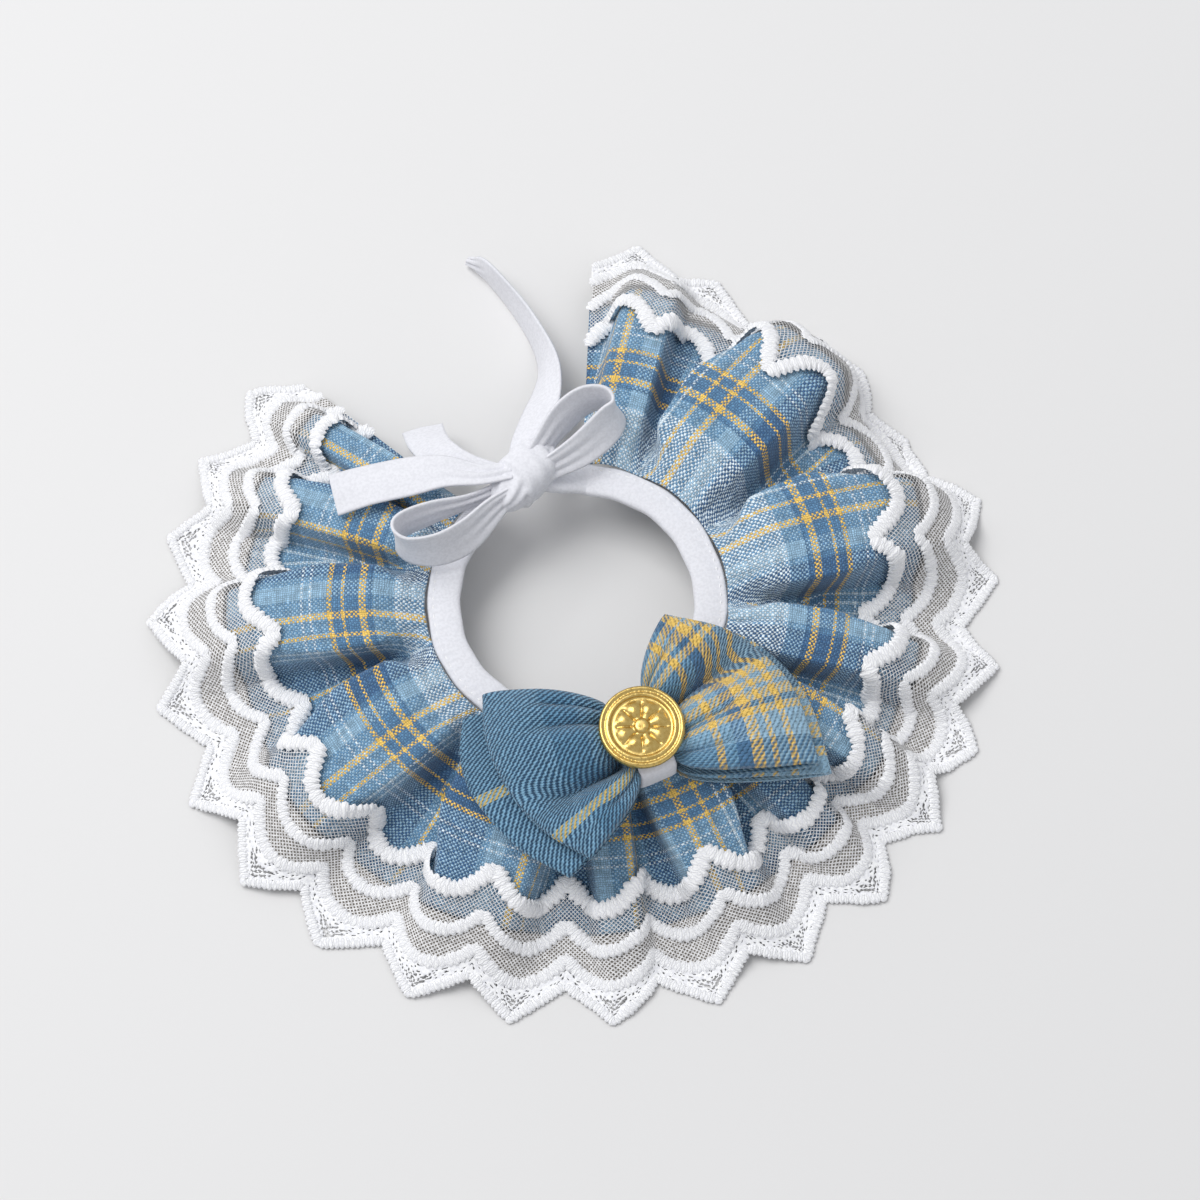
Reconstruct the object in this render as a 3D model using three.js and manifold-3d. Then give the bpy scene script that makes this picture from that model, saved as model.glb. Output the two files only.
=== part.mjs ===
// A lace collar for a small pet, laid flat on a table.
//
// Millimetres, +Z up, the table at z = 0. The bow in front looks towards -Y, the ribbon ties at the
// back lie towards +Y. A bearing is an angle round the neck in degrees, 0 at the front and growing
// towards +X. Everything is laid out round the middle of the neck hole, and at the end the whole part
// is moved so that the origin is the bottom centre of its box.

import * as THREE from "three";
import { mergeVertices } from "three/addons/utils/BufferGeometryUtils.js";
import Module from "manifold-3d";

const wasm = await Module();
wasm.setup();

// ---- Driving dimensions ----

const SEAM_GAP = 0.3;            // between two pieces that are sewn or lie on each other
const NECK_RADIUS = 45;          // outer edge of the neck tape, where the ruffle is gathered in
const NECK_HEIGHT = 18;          // height of the tape's middle above the table
const TAPE_WIDTH = 10;           // folded tape, neck edge to gathered edge
const TAPE_THICKNESS = 3.4;      // folded tape over the gathered edge
const RUFFLE_LENGTH = 57;        // neck seam to hem, along the cloth
const CLOTH_WALL = 1.2;          // hemmed cotton, doubled
const LACE_WALL = 1.0;           // embroidered net
const LACE_REPEATS = 24;         // scallops from end to end
const COLUMNS_PER_REPEAT = 6;
const CORD_RELIEF = 0.9;         // how far the thick scallop cord stands up
const FINE_RELIEF = 0.5;         // how far the finer cord and the edge band stand up
const RIBBON_WIDTH = 13;         // folded ribbon of the ties
const RIBBON_WALL = 1.2;
const BOW_CENTRE_X = -2;         // middle of the bow's waist
const BOW_CENTRE_Y = -51;
const BOW_WAIST_HALF = 11;       // half height of the pinched waist
const BOW_BAND_WIDTH = 11;
const BUTTON_DIAMETER = 25;
const BUTTON_PETALS = 8;

const COLOURS = {
  plaid: 0x5d86a8,
  bow: 0x3f7096,
  white: 0xf2f2f5,
  gold: 0xd9ac3c,
};

// ---- Small helpers ----

const radians = THREE.MathUtils.degToRad;
const smooth = (t) => THREE.MathUtils.smoothstep(t, 0, 1);
const vector = (x, y, z) => new THREE.Vector3(x, y, z);
const range = (count) => Array.from({ length: count }, (_, i) => i);

// The value at x of the broken line through (xs, ys).
function along(x, xs, ys) {
  const last = xs.length - 1;
  if (x <= xs[0]) return ys[0];
  if (x >= xs[last]) return ys[last];
  const i = xs.findIndex((edge) => edge > x) - 1;
  return ys[i] + ((ys[i + 1] - ys[i]) * (x - xs[i])) / (xs[i + 1] - xs[i]);
}

// ---- The pleated cloth as one surface ----

// One row a pleat: the bearing where it starts, the rise of its crest above the troughs, and how far
// each of its sides leans out over its neighbour, as a share of its width.
const PLEATS = [
  { start: -157, rise: 7, leanStart: 0.0, leanEnd: 0.1 },
  { start: -144, rise: 10, leanStart: 0.1, leanEnd: 0.05 },
  { start: -126, rise: 13, leanStart: 0.1, leanEnd: 0.12 },
  { start: -96, rise: 13, leanStart: 0.12, leanEnd: 0.05 },
  { start: -59, rise: 10, leanStart: 0.16, leanEnd: 0.05 },
  { start: -24, rise: 6, leanStart: 0.0, leanEnd: 0.05 },
  { start: -9, rise: 8, leanStart: 0.1, leanEnd: 0.22 },
  { start: 15, rise: 7, leanStart: 0.0, leanEnd: 0.1 },
  { start: 30, rise: 10, leanStart: 0.1, leanEnd: 0.08 },
  { start: 46, rise: 11, leanStart: 0.08, leanEnd: 0.08 },
  { start: 66, rise: 13, leanStart: 0.15, leanEnd: 0.2 },
  { start: 97, rise: 14, leanStart: 0.0, leanEnd: 0.22 },
  { start: 133, rise: 9, leanStart: 0.0, leanEnd: 0.0 },
];
const LAST_BEARING = 154;
const CREST_SHARPNESS = 2.6;     // higher makes the crests broader and the troughs narrower

// How much of a pleat's rise and lean is there at each distance from the neck seam.
const RISE_ALONG = { d: [0, 8, 16, 30, 52, 66, 78, 92], share: [0.1, 0.45, 0.75, 1, 1, 0.75, 0.5, 0.3] };
const LEAN_ALONG = { d: [0, 5, 14, 36, 50, 70, 92], share: [0, 0.1, 1, 0.95, 0.5, 0.2, 0.05] };

// Fall of the cloth below level in degrees, at these distances from the neck seam. At the back right
// the lace hangs steeply off the hem; elsewhere it lies out over the table.
const FALL_AT = [0, 20, 45, 62, 72, 92];
const FALLS = [
  { bearing: -157, degrees: [12, 10, 12, 18, 22, 22] },
  { bearing: -110, degrees: [15, 14, 13, 14, 13, 10] },
  { bearing: -50, degrees: [17, 15, 14, 14, 12, 9] },
  { bearing: 60, degrees: [17, 14, 14, 14, 12, 9] },
  { bearing: 80, degrees: [10, 10, 10, 17, 24, 24] },
  { bearing: 95, degrees: [4, 2, 6, 40, 62, 66] },
  { bearing: 125, degrees: [4, 2, 6, 40, 62, 66] },
  { bearing: 138, degrees: [6, 4, 8, 30, 45, 45] },
  { bearing: 154, degrees: [10, 6, 8, 14, 20, 24] },
];

// Share of its length that the cloth reaches out, smaller where it is crumpled most.
const REACH = {
  bearing: [-157, -110, -60, -30, 30, 60, 90, 154],
  share: [0.97, 0.97, 0.94, 0.925, 0.925, 0.95, 1, 1],
};
const RESTING_HEIGHT = 0.1;      // lowest height of the surface; walls are kept above the table
const RESTING_BLEND = 2;         // height over which the cloth eases on to the table

function fallAt(bearing, d) {
  const i = THREE.MathUtils.clamp(FALL_AT.findIndex((edge) => edge > d) - 1, 0, FALL_AT.length - 2);
  const bearings = FALLS.map((row) => row.bearing);
  const near = along(bearing, bearings, FALLS.map((row) => row.degrees[i]));
  const far = along(bearing, bearings, FALLS.map((row) => row.degrees[i + 1]));
  const share = smooth((d - FALL_AT[i]) / (FALL_AT[i + 1] - FALL_AT[i]));
  return radians(near + (far - near) * share);
}

// Radius, height and fall of the cloth at a bearing, before it is pleated.
function profile(bearing, d) {
  const steps = Math.max(1, Math.ceil(d));
  const step = d / steps;
  let out = 0;
  let height = NECK_HEIGHT;
  for (let i = 0; i < steps; i++) {
    const fall = fallAt(bearing, (i + 0.5) * step);
    out += Math.cos(fall) * step;
    height -= Math.sin(fall) * step;
  }
  const reach = along(bearing, REACH.bearing, REACH.share);
  return { radius: NECK_RADIUS + out * reach, height, fall: fallAt(bearing, d) };
}

function restOnTable(z) {
  const above = z - RESTING_HEIGHT;
  if (above > RESTING_BLEND) return z;
  if (above < -RESTING_BLEND) return RESTING_HEIGHT;
  return RESTING_HEIGHT + (above + RESTING_BLEND) ** 2 / (4 * RESTING_BLEND);
}

// A point of the cloth. pleat is the pleat's number plus the share of its width, d the distance along
// the cloth from the neck seam.
function clothPoint(pleat, d) {
  const k = THREE.MathUtils.clamp(Math.floor(pleat), 0, PLEATS.length - 1);
  const share = pleat - k;
  const row = PLEATS[k];
  const end = k + 1 < PLEATS.length ? PLEATS[k + 1].start : LAST_BEARING;
  const lean = share < 0.5 ? -row.leanStart : row.leanEnd;
  const leanNow = lean * Math.sin(2 * Math.PI * share) ** 2 * along(d, LEAN_ALONG.d, LEAN_ALONG.share);
  const flatBearing = row.start + (end - row.start) * share;
  const bearing = radians(row.start + (end - row.start) * (share + leanNow));
  const rise = row.rise * along(d, RISE_ALONG.d, RISE_ALONG.share);
  const lift = rise * (1 - Math.abs(Math.cos(Math.PI * share)) ** CREST_SHARPNESS);
  const base = profile(flatBearing, d);
  const radius = base.radius + lift * Math.sin(base.fall);
  const height = restOnTable(base.height + lift * Math.cos(base.fall));
  return vector(radius * Math.sin(bearing), -radius * Math.cos(bearing), height);
}

// The cloth's upward normal, from points a short way along and across.
function clothNormal(pleat, d) {
  const across = 0.04;
  const down = 1.5;
  const last = PLEATS.length;
  const before = clothPoint(Math.max(0, pleat - across), d);
  const after = clothPoint(Math.min(last, pleat + across), d);
  const inner = clothPoint(pleat, Math.max(0, d - down));
  const outer = clothPoint(pleat, d + down);
  return outer.sub(inner).cross(after.sub(before)).normalize();
}

// Pleat coordinates at equal lengths of cloth, measured along a line just beyond the hem, so that
// every scallop of the lace gets the same length of cloth.
function evenColumns(count) {
  const samplesPerPleat = 40;
  const measuredAt = 66;         // from the neck seam
  const pleats = range(PLEATS.length * samplesPerPleat + 1).map((i) => i / samplesPerPleat);
  const lengths = [0];
  for (let i = 1; i < pleats.length; i++) {
    const step = clothPoint(pleats[i], measuredAt).distanceTo(clothPoint(pleats[i - 1], measuredAt));
    lengths.push(lengths[i - 1] + step);
  }
  const total = lengths[lengths.length - 1];
  return range(count + 1).map((i) => along((i / count) * total, lengths, pleats));
}

const COLUMNS = evenColumns(LACE_REPEATS * COLUMNS_PER_REPEAT);

// ---- Solids from grids of points ----

// Two triangles for the four-cornered face a, b, c, d, split along its shorter diagonal.
function quadFaces(points, a, b, c, d) {
  if (points[a].distanceTo(points[c]) <= points[b].distanceTo(points[d])) return [[a, b, c], [a, c, d]];
  return [[a, b, d], [b, c, d]];
}

// A closed wall between an outer and an inner grid of points. Both have the same columns; the inner
// one may have fewer rows.
function wallBetween(outer, inner) {
  const columns = outer[0].length;
  const points = [...outer.flat(), ...inner.flat()];
  const top = (i, j) => i * columns + j;
  const under = (i, j) => (outer.length + i) * columns + j;
  const faces = [];
  for (let j = 0; j + 1 < columns; j++) {
    for (let i = 0; i + 1 < outer.length; i++) {
      faces.push(...quadFaces(points, top(i, j), top(i + 1, j), top(i + 1, j + 1), top(i, j + 1)));
    }
    for (let i = 0; i + 1 < inner.length; i++) {
      faces.push(...quadFaces(points, under(i, j), under(i, j + 1), under(i + 1, j + 1), under(i + 1, j)));
    }
    const lastTop = outer.length - 1;
    const lastUnder = inner.length - 1;
    faces.push([top(0, j), top(0, j + 1), under(0, j + 1)], [top(0, j), under(0, j + 1), under(0, j)]);
    faces.push([top(lastTop, j + 1), top(lastTop, j), under(lastUnder, j)]);
    faces.push([top(lastTop, j + 1), under(lastUnder, j), under(lastUnder, j + 1)]);
  }
  for (const [j, flipped] of [[0, false], [columns - 1, true]]) {
    faces.push(...endFaces(outer.length, inner.length, (i) => top(i, j), (i) => under(i, j), flipped));
  }
  return solidGeometry(points, faces);
}

// The faces that close one end of a wall, between its outer and its inner edge.
function endFaces(outerRows, innerRows, top, under, flipped) {
  const faces = [];
  let i = 0;
  let k = 0;
  while (i < outerRows - 1 || k < innerRows - 1) {
    const outerNext = (i + 1) / (outerRows - 1);
    const innerNext = (k + 1) / (innerRows - 1);
    if (outerNext <= innerNext) {
      faces.push([top(i + 1), top(i), under(k)]);
      i += 1;
    } else {
      faces.push([under(k), under(k + 1), top(i)]);
      k += 1;
    }
  }
  return flipped ? faces.map(([a, b, c]) => [a, c, b]) : faces;
}

// A closed solid through rings of points, one ring a station, with flat ends.
function solidThroughRings(rings) {
  const sides = rings[0].length;
  const faces = [];
  const at = (i, j) => i * sides + (j % sides);
  for (let i = 0; i + 1 < rings.length; i++) {
    for (let j = 0; j < sides; j++) {
      faces.push([at(i, j), at(i, j + 1), at(i + 1, j + 1)], [at(i, j), at(i + 1, j + 1), at(i + 1, j)]);
    }
  }
  const last = rings.length - 1;
  for (let j = 1; j + 1 < sides; j++) {
    faces.push([at(0, 0), at(0, j + 1), at(0, j)], [at(last, 0), at(last, j), at(last, j + 1)]);
  }
  return solidGeometry(rings.flat(), faces);
}

// A mesh geometry from points and faces, turned inside out if its faces look inwards.
function solidGeometry(points, faces) {
  const volume = faces.reduce((sum, [a, b, c]) => {
    return sum + points[a].dot(points[b].clone().cross(points[c])) / 6;
  }, 0);
  const facing = volume > 0 ? faces : faces.map(([a, b, c]) => [a, c, b]);
  const geometry = new THREE.BufferGeometry().setFromPoints(points);
  geometry.setIndex(facing.flat());
  return geometry;
}

// ---- Cuts between neighbours ----

function toSolid(geometry) {
  const bare = geometry.clone();
  bare.deleteAttribute("normal");
  bare.deleteAttribute("uv");
  const merged = mergeVertices(bare, 1e-4);
  return new wasm.Manifold(new wasm.Mesh({
    numProp: 3,
    vertProperties: new Float32Array(merged.attributes.position.array),
    triVerts: new Uint32Array(merged.index.array),
  }));
}

function cutAway(geometry, tool) {
  const result = toSolid(geometry).subtract(toSolid(tool)).getMesh();
  const cut = new THREE.BufferGeometry();
  cut.setAttribute("position", new THREE.BufferAttribute(new Float32Array(result.vertProperties), 3));
  cut.setIndex(Array.from(result.triVerts));
  return cut;
}

// ---- Plaid ruffle ----

const RUFFLE_ROWS = [0, 7, 15, 26, 38, 48, RUFFLE_LENGTH];

function plaidRuffle() {
  const side = (sign) => RUFFLE_ROWS.map((d) => COLUMNS.map((pleat) => {
    const from = d === 0 ? SEAM_GAP : d;
    const point = clothPoint(pleat, from).addScaledVector(clothNormal(pleat, from), (sign * CLOTH_WALL) / 2);
    point.z = Math.max(point.z, 0);
    return point;
  }));
  return wallBetween(side(1), side(-1));
}

// ---- Lace frill ----

// Lines that follow the scallops: where each one lies at the cusps, how far it swings out at the
// middle of a scallop, its half width, and how far it stands up. The edge runs in straight points.
const LACE_LINES = {
  cord: { cusp: 42, swing: 11, half: 2.0, relief: CORD_RELIEF },
  fine: { cusp: 56, swing: 10, half: 1.4, relief: FINE_RELIEF },
  band: { cusp: 66, swing: 10, half: 1.0, relief: FINE_RELIEF },
  edge: { cusp: 78, swing: 12, half: 2.0, relief: FINE_RELIEF },
};
const NET_MIDDLE = 6.5;          // from the thick cord to the middle of the net beyond it
const SCALLOP_ROUNDNESS = 0.75;
const LACE_LOOSENESS = 0.5;      // the lace lies this much looser over the pleats than a seam

function laceLine(line, share) {
  const point = 1 - Math.abs(2 * share - 1);
  const round = Math.sin(Math.PI * share) ** SCALLOP_ROUNDNESS;
  return line.cusp + line.swing * (line === LACE_LINES.edge ? point : round);
}

// How far the middle of the lace lies above the cloth surface: over the ruffle it clears the ruffle's
// wall, and beyond the hem it comes down to the surface itself.
function laceOffset(d) {
  const overRuffle = CLOTH_WALL / 2 + SEAM_GAP + LACE_WALL / 2 + LACE_LOOSENESS;
  const hemClearance = 7;        // past the hem, before the lace starts to come down
  const settled = 12;            // length over which it comes down
  return overRuffle * (1 - smooth((d - RUFFLE_LENGTH - hemClearance) / settled));
}

function lacePoint(pleat, d, above) {
  const point = clothPoint(pleat, d).addScaledVector(clothNormal(pleat, d), laceOffset(d) + above);
  point.z = Math.max(point.z, above < 0 ? 0 : LACE_WALL);
  return point;
}

function laceFrill() {
  const { cord, fine, band, edge } = LACE_LINES;
  const raisedRows = [
    { line: cord, shift: -cord.half, relief: 0 },
    { line: cord, shift: 0, relief: cord.relief, topOnly: true },
    { line: cord, shift: cord.half, relief: 0 },
    { line: cord, shift: NET_MIDDLE, relief: 0 },
    { line: fine, shift: -fine.half, relief: 0 },
    { line: fine, shift: 0, relief: fine.relief, topOnly: true },
    { line: fine, shift: fine.half, relief: 0 },
    { line: band, shift: -band.half, relief: 0 },
    { line: band, shift: band.half, relief: band.relief, topOnly: true },
    { line: edge, shift: -edge.half, relief: edge.relief },
    { line: edge, shift: 0, relief: 0 },
  ];
  const plainRows = raisedRows.filter((row) => !row.topOnly);
  const side = (rows, sign) => rows.map((row) => COLUMNS.map((pleat, j) => {
    const share = (j % COLUMNS_PER_REPEAT) / COLUMNS_PER_REPEAT;
    const relief = sign > 0 ? row.relief : 0;
    return lacePoint(pleat, laceLine(row.line, share) + row.shift, (sign * LACE_WALL) / 2 + relief);
  }));
  return wallBetween(side(raisedRows, 1), side(plainRows, -1));
}

// ---- Neck tape ----

// The tape runs round the neck and then rises into the knot. These are its way into the knot at each
// end: middle of the tape, and its width there.
const TAPE_INTO_KNOT_LEFT = [
  { x: -9, y: 39, z: 22.5, width: 7 },
  { x: -3, y: 40, z: 24, width: 6 },
];
const TAPE_INTO_KNOT_RIGHT = [
  { x: 8, y: 38, z: 22, width: 8 },
  { x: 2, y: 39.5, z: 24, width: 6 },
];
const TAPE_STEPS = 44;
const TAPE_EDGE_POINTS = 3;      // on each rounded edge of the tape's section

function neckBinding() {
  const first = PLEATS[0].start;
  const onRing = range(TAPE_STEPS + 1).map((i) => {
    const bearing = radians(first + ((LAST_BEARING - first) * i) / TAPE_STEPS);
    const radius = NECK_RADIUS - TAPE_WIDTH / 2;
    const [x, y] = [radius * Math.sin(bearing), -radius * Math.cos(bearing)];
    return { x, y, z: NECK_HEIGHT, width: TAPE_WIDTH };
  });
  const stations = [...TAPE_INTO_KNOT_LEFT.toReversed(), ...onRing, ...TAPE_INTO_KNOT_RIGHT];
  const path = stations.map((station) => vector(station.x, station.y, station.z));
  const rings = stations.map((station, i) => {
    const ahead = path[Math.min(i + 1, path.length - 1)].clone().sub(path[Math.max(i - 1, 0)]).normalize();
    const outward = ahead.clone().cross(vector(0, 0, 1)).normalize();
    const up = outward.clone().cross(ahead).normalize();
    return tapeSection(station.width).map(([side, height]) => {
      return path[i].clone().addScaledVector(outward, side).addScaledVector(up, height);
    });
  });
  return solidThroughRings(rings);
}

// A flat section with half-round edges, as [across, up] pairs.
function tapeSection(width) {
  const radius = TAPE_THICKNESS / 2;
  const turn = (centre, from) => range(TAPE_EDGE_POINTS + 1).map((i) => {
    const angle = from + (Math.PI * i) / TAPE_EDGE_POINTS;
    return [centre + radius * Math.cos(angle), radius * Math.sin(angle)];
  });
  return [...turn(width / 2 - radius, -Math.PI / 2), ...turn(-width / 2 + radius, Math.PI / 2)];
}

// ---- Ribbon ties ----

// Stations of each ribbon: its middle, its width, and its tilt. A ribbon with no tilt lies level, and
// one with a tilt of 90 stands on its edge; a positive tilt lifts the edge on the left of its way.
const TIES = {
  tie_loop_right: [
    { x: 3, y: 41.5, z: 28.5, width: 7, tilt: 60 },
    { x: 10, y: 46, z: 30, width: 9, tilt: 66 },
    { x: 18, y: 52, z: 31.5, width: 12, tilt: 74 },
    { x: 26.5, y: 56, z: 31.8, width: RIBBON_WIDTH, tilt: 80 },
    { x: 33.5, y: 54, z: 31.8, width: RIBBON_WIDTH, tilt: 86 },
    { x: 35, y: 48.5, z: 31.8, width: RIBBON_WIDTH, tilt: 100 },
    { x: 30, y: 43.5, z: 31, width: RIBBON_WIDTH, tilt: 118 },
    { x: 20, y: 39, z: 29.5, width: 10, tilt: 125 },
    { x: 8, y: 37.5, z: 28.8, width: 6, tilt: 120 },
    { x: 3, y: 38, z: 28.5, width: 6, tilt: 115 },
  ],
  tie_loop_left: [
    { x: -5, y: 36, z: 28.4, width: 5, tilt: 120 },
    { x: -12, y: 33.5, z: 28.4, width: 8, tilt: 125 },
    { x: -23, y: 28.5, z: 29, width: 12, tilt: 122 },
    { x: -33, y: 27.5, z: 30, width: RIBBON_WIDTH, tilt: 112 },
    { x: -41, y: 30.5, z: 31, width: RIBBON_WIDTH, tilt: 98 },
    { x: -43.5, y: 35.5, z: 31.5, width: RIBBON_WIDTH, tilt: 88 },
    { x: -40, y: 39, z: 30.5, width: 12, tilt: 80 },
    { x: -30, y: 40, z: 28.5, width: 10, tilt: 75 },
    { x: -18, y: 39.5, z: 27, width: 6.5, tilt: 70 },
    { x: -6, y: 39.5, z: 26.5, width: 6, tilt: 65 },
  ],
  tie_tail_left: [
    { x: -3, y: 42.5, z: 30, width: 7, tilt: 18 },
    { x: -12, y: 44.5, z: 31, width: 8, tilt: 14 },
    { x: -22, y: 50, z: 31, width: 11, tilt: 8 },
    { x: -32, y: 53, z: 30, width: RIBBON_WIDTH, tilt: 4 },
    { x: -44, y: 56, z: 28.5, width: RIBBON_WIDTH, tilt: 0 },
    { x: -54.5, y: 58, z: 26.5, width: RIBBON_WIDTH, tilt: -6 },
  ],
  tie_tail_long: [
    { x: 0, y: 42, z: 25, width: 7, tilt: -10 },
    { x: 6, y: 51, z: 21.5, width: 11, tilt: -18 },
    { x: 14, y: 61, z: 18, width: RIBBON_WIDTH, tilt: -30 },
    { x: 21, y: 71, z: 14, width: RIBBON_WIDTH, tilt: -48 },
    { x: 25.5, y: 82, z: 9.5, width: RIBBON_WIDTH, tilt: -66 },
    { x: 26.5, y: 94, z: 7.0, width: RIBBON_WIDTH, tilt: -78 },
    { x: 25, y: 106, z: 6.6, width: RIBBON_WIDTH, tilt: -84 },
    { x: 22, y: 118, z: 6.6, width: RIBBON_WIDTH, tilt: -86 },
    { x: 20, y: 124, z: 3.9, width: 7, tilt: -86 },
    { x: 18.5, y: 128, z: 1.7, width: 2.5, tilt: -86 },
  ],
  tie_end_short: [
    { x: -5, y: 44, z: 25, width: 7, tilt: 10 },
    { x: -14, y: 52, z: 24, width: 9, tilt: 5 },
    { x: -19, y: 60, z: 21, width: 11, tilt: 0 },
    { x: -20, y: 68, z: 15, width: 12.5, tilt: 0 },
    { x: -19, y: 76, z: 8, width: RIBBON_WIDTH, tilt: 0 },
  ],
};
const RIBBON_STEPS_PER_STATION = 2;
const RIBBON_CREASE = 0.5;       // how far the middle of the folded ribbon stands up

// A flat ribbon along its stations, smoothed between them.
function ribbon(stations) {
  const steps = (stations.length - 1) * RIBBON_STEPS_PER_STATION;
  const curve = new THREE.CatmullRomCurve3(stations.map(({ x, y, z }) => vector(x, y, z)));
  const numbers = stations.map((_, i) => i);
  const rings = range(steps + 1).map((i) => {
    const place = (i / steps) * (stations.length - 1);
    const width = along(place, numbers, stations.map((station) => station.width));
    const tilt = radians(along(place, numbers, stations.map((station) => station.tilt)));
    const ahead = curve.getTangent(i / steps);
    const left = vector(0, 0, 1).cross(ahead).normalize();
    const up = ahead.clone().cross(left).normalize();
    const across = left.clone().multiplyScalar(Math.cos(tilt)).addScaledVector(up, Math.sin(tilt));
    const normal = ahead.clone().cross(across).normalize();
    const middle = curve.getPoint(i / steps);
    const half = RIBBON_WALL / 2;
    const section = [
      [-width / 2, -half], [0, RIBBON_CREASE - half], [width / 2, -half],
      [width / 2, half], [0, RIBBON_CREASE + half], [-width / 2, half],
    ];
    return section.map(([side, height]) => {
      return middle.clone().addScaledVector(across, side).addScaledVector(normal, height);
    });
  });
  return solidThroughRings(rings);
}

// The knot is a squeezed lump, longer along the tie than across it.
const KNOT = { x: -1, y: 40.5, z: 25.8, length: 21, depth: 13.5, height: 13.5, turn: 24 };
const KNOT_SIDES = 20;
const KNOT_ROWS = 12;
const KNOT_SQUARENESS = 0.8;     // at 1 it is a ball, and lower is squarer

function knotLump(grown) {
  const lump = new THREE.SphereGeometry(1, KNOT_SIDES, KNOT_ROWS);
  const position = lump.attributes.position;
  const squarer = (value) => (Math.sign(value) * Math.abs(value) ** KNOT_SQUARENESS) / 2;
  for (let i = 0; i < position.count; i++) {
    const place = new THREE.Vector3().fromBufferAttribute(position, i);
    position.setXYZ(i, squarer(place.x), squarer(place.y), squarer(place.z));
  }
  lump.scale(KNOT.length + 2 * grown, KNOT.depth + 2 * grown, KNOT.height + 2 * grown);
  lump.rotateZ(radians(KNOT.turn));
  lump.translate(KNOT.x, KNOT.y, KNOT.z);
  return lump;
}

// ---- Double bow ----

// Each loop is a strip folded back on itself. Its fold runs through the listed points, from the neck
// side to the hem side; low and high are the heights of its under and upper layer at the fold.
const BOW_LOOPS = [
  {
    name: "bow_back_left", waist: [22.1, 25.1], low: 24.6, high: 29, lobes: 0,
    fold: [[-46.5, -24], [-52, -35], [-53, -48], [-47.5, -66], [-37.5, -80.5]],
  },
  {
    name: "bow_back_right", waist: [22.1, 25.1], low: 24, high: 28.4, lobes: 0,
    fold: [[24, -24], [38, -33], [45.5, -47], [47.5, -62], [44.5, -79]],
  },
  {
    name: "bow_front_left", waist: [25.4, 32.4], low: 29.4, high: 35, lobes: 6,
    fold: [[-39, -21.5], [-43.5, -34], [-44, -49], [-40, -65], [-30.5, -79.5]],
  },
  {
    name: "bow_front_right", waist: [25.4, 32.4], low: 28.8, high: 34.4, lobes: 6,
    fold: [[19.5, -20], [33.5, -31], [41, -44], [44, -58], [42, -75]],
  },
];
const LOOP_STEPS = 14;           // along the strip, waist to fold and back
const LOOP_CELLS = 8;            // across the strip
const OPENED_AT = 0.6;           // share of the way to the fold where a loop is fully open
const FOLD_SHARPNESS = 4;        // how late the two layers come together at the fold
const LOBE_FORWARD = 0.8;        // below 1 the lobes are highest nearer to the waist

function bowLoop(loop) {
  const side = Math.sign(loop.fold[0][0] - BOW_CENTRE_X);
  const neckX = BOW_CENTRE_X + (side * SEAM_GAP) / 2;
  const waistX = BOW_CENTRE_X + side * (BOW_BAND_WIDTH / 2 + SEAM_GAP);
  const fold = new THREE.CatmullRomCurve3(loop.fold.map(([x, y]) => vector(x, y, 0)));
  const waistMiddle = (loop.waist[0] + loop.waist[1]) / 2;
  const waistHalf = (loop.waist[1] - loop.waist[0]) / 2;
  const foldMiddle = (loop.low + loop.high) / 2;
  const foldHalf = (loop.high - loop.low) / 2;
  const place = (s, v) => {
    const reach = Math.sin(Math.PI * s);
    const upper = s < 0.5;
    const waistPoint = vector(waistX, BOW_CENTRE_Y - BOW_WAIST_HALF * v, 0);
    const point = waistPoint.lerp(fold.getPoint((v + 1) / 2), reach);
    const opening = Math.sqrt(Math.max(0, 1 - reach ** FOLD_SHARPNESS));
    const open = smooth(reach / OPENED_AT);
    const half = (waistHalf + (foldHalf - waistHalf) * open) * opening;
    const acrossLobes = (1 - Math.cos(2 * Math.PI * v)) / 2;
    const lobe = loop.lobes * acrossLobes * Math.sin(Math.PI * reach ** LOBE_FORWARD);
    const middle = waistMiddle + (foldMiddle - waistMiddle) * open;
    point.z = middle + (upper ? half + lobe : -half);
    return point;
  };
  const shell = (offset) => range(LOOP_STEPS + 1).map((i) => range(LOOP_CELLS + 1).map((j) => {
    const s = i / LOOP_STEPS;
    const v = (2 * j) / LOOP_CELLS - 1;
    const step = 0.01;
    const alongStrip = place(Math.min(s + step, 1), v).sub(place(Math.max(s - step, 0), v));
    const acrossStrip = place(s, Math.min(v + step, 1)).sub(place(s, Math.max(v - step, -1)));
    const normal = alongStrip.cross(acrossStrip).normalize();
    return place(s, v).addScaledVector(normal, offset * side);
  }));
  // Inside the band the strip runs level to the middle of the bow.
  const neck = (offset, upper) => range(LOOP_CELLS + 1).map((j) => {
    const y = BOW_CENTRE_Y - BOW_WAIST_HALF * ((2 * j) / LOOP_CELLS - 1);
    return vector(neckX, y, upper ? loop.waist[1] - offset : loop.waist[0] + offset);
  });
  const strip = (offset) => [neck(offset, true), ...shell(offset), neck(offset, false)];
  return wallBetween(strip(0), strip(CLOTH_WALL));
}

const BAND_CORNER_STEPS = 4;

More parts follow.
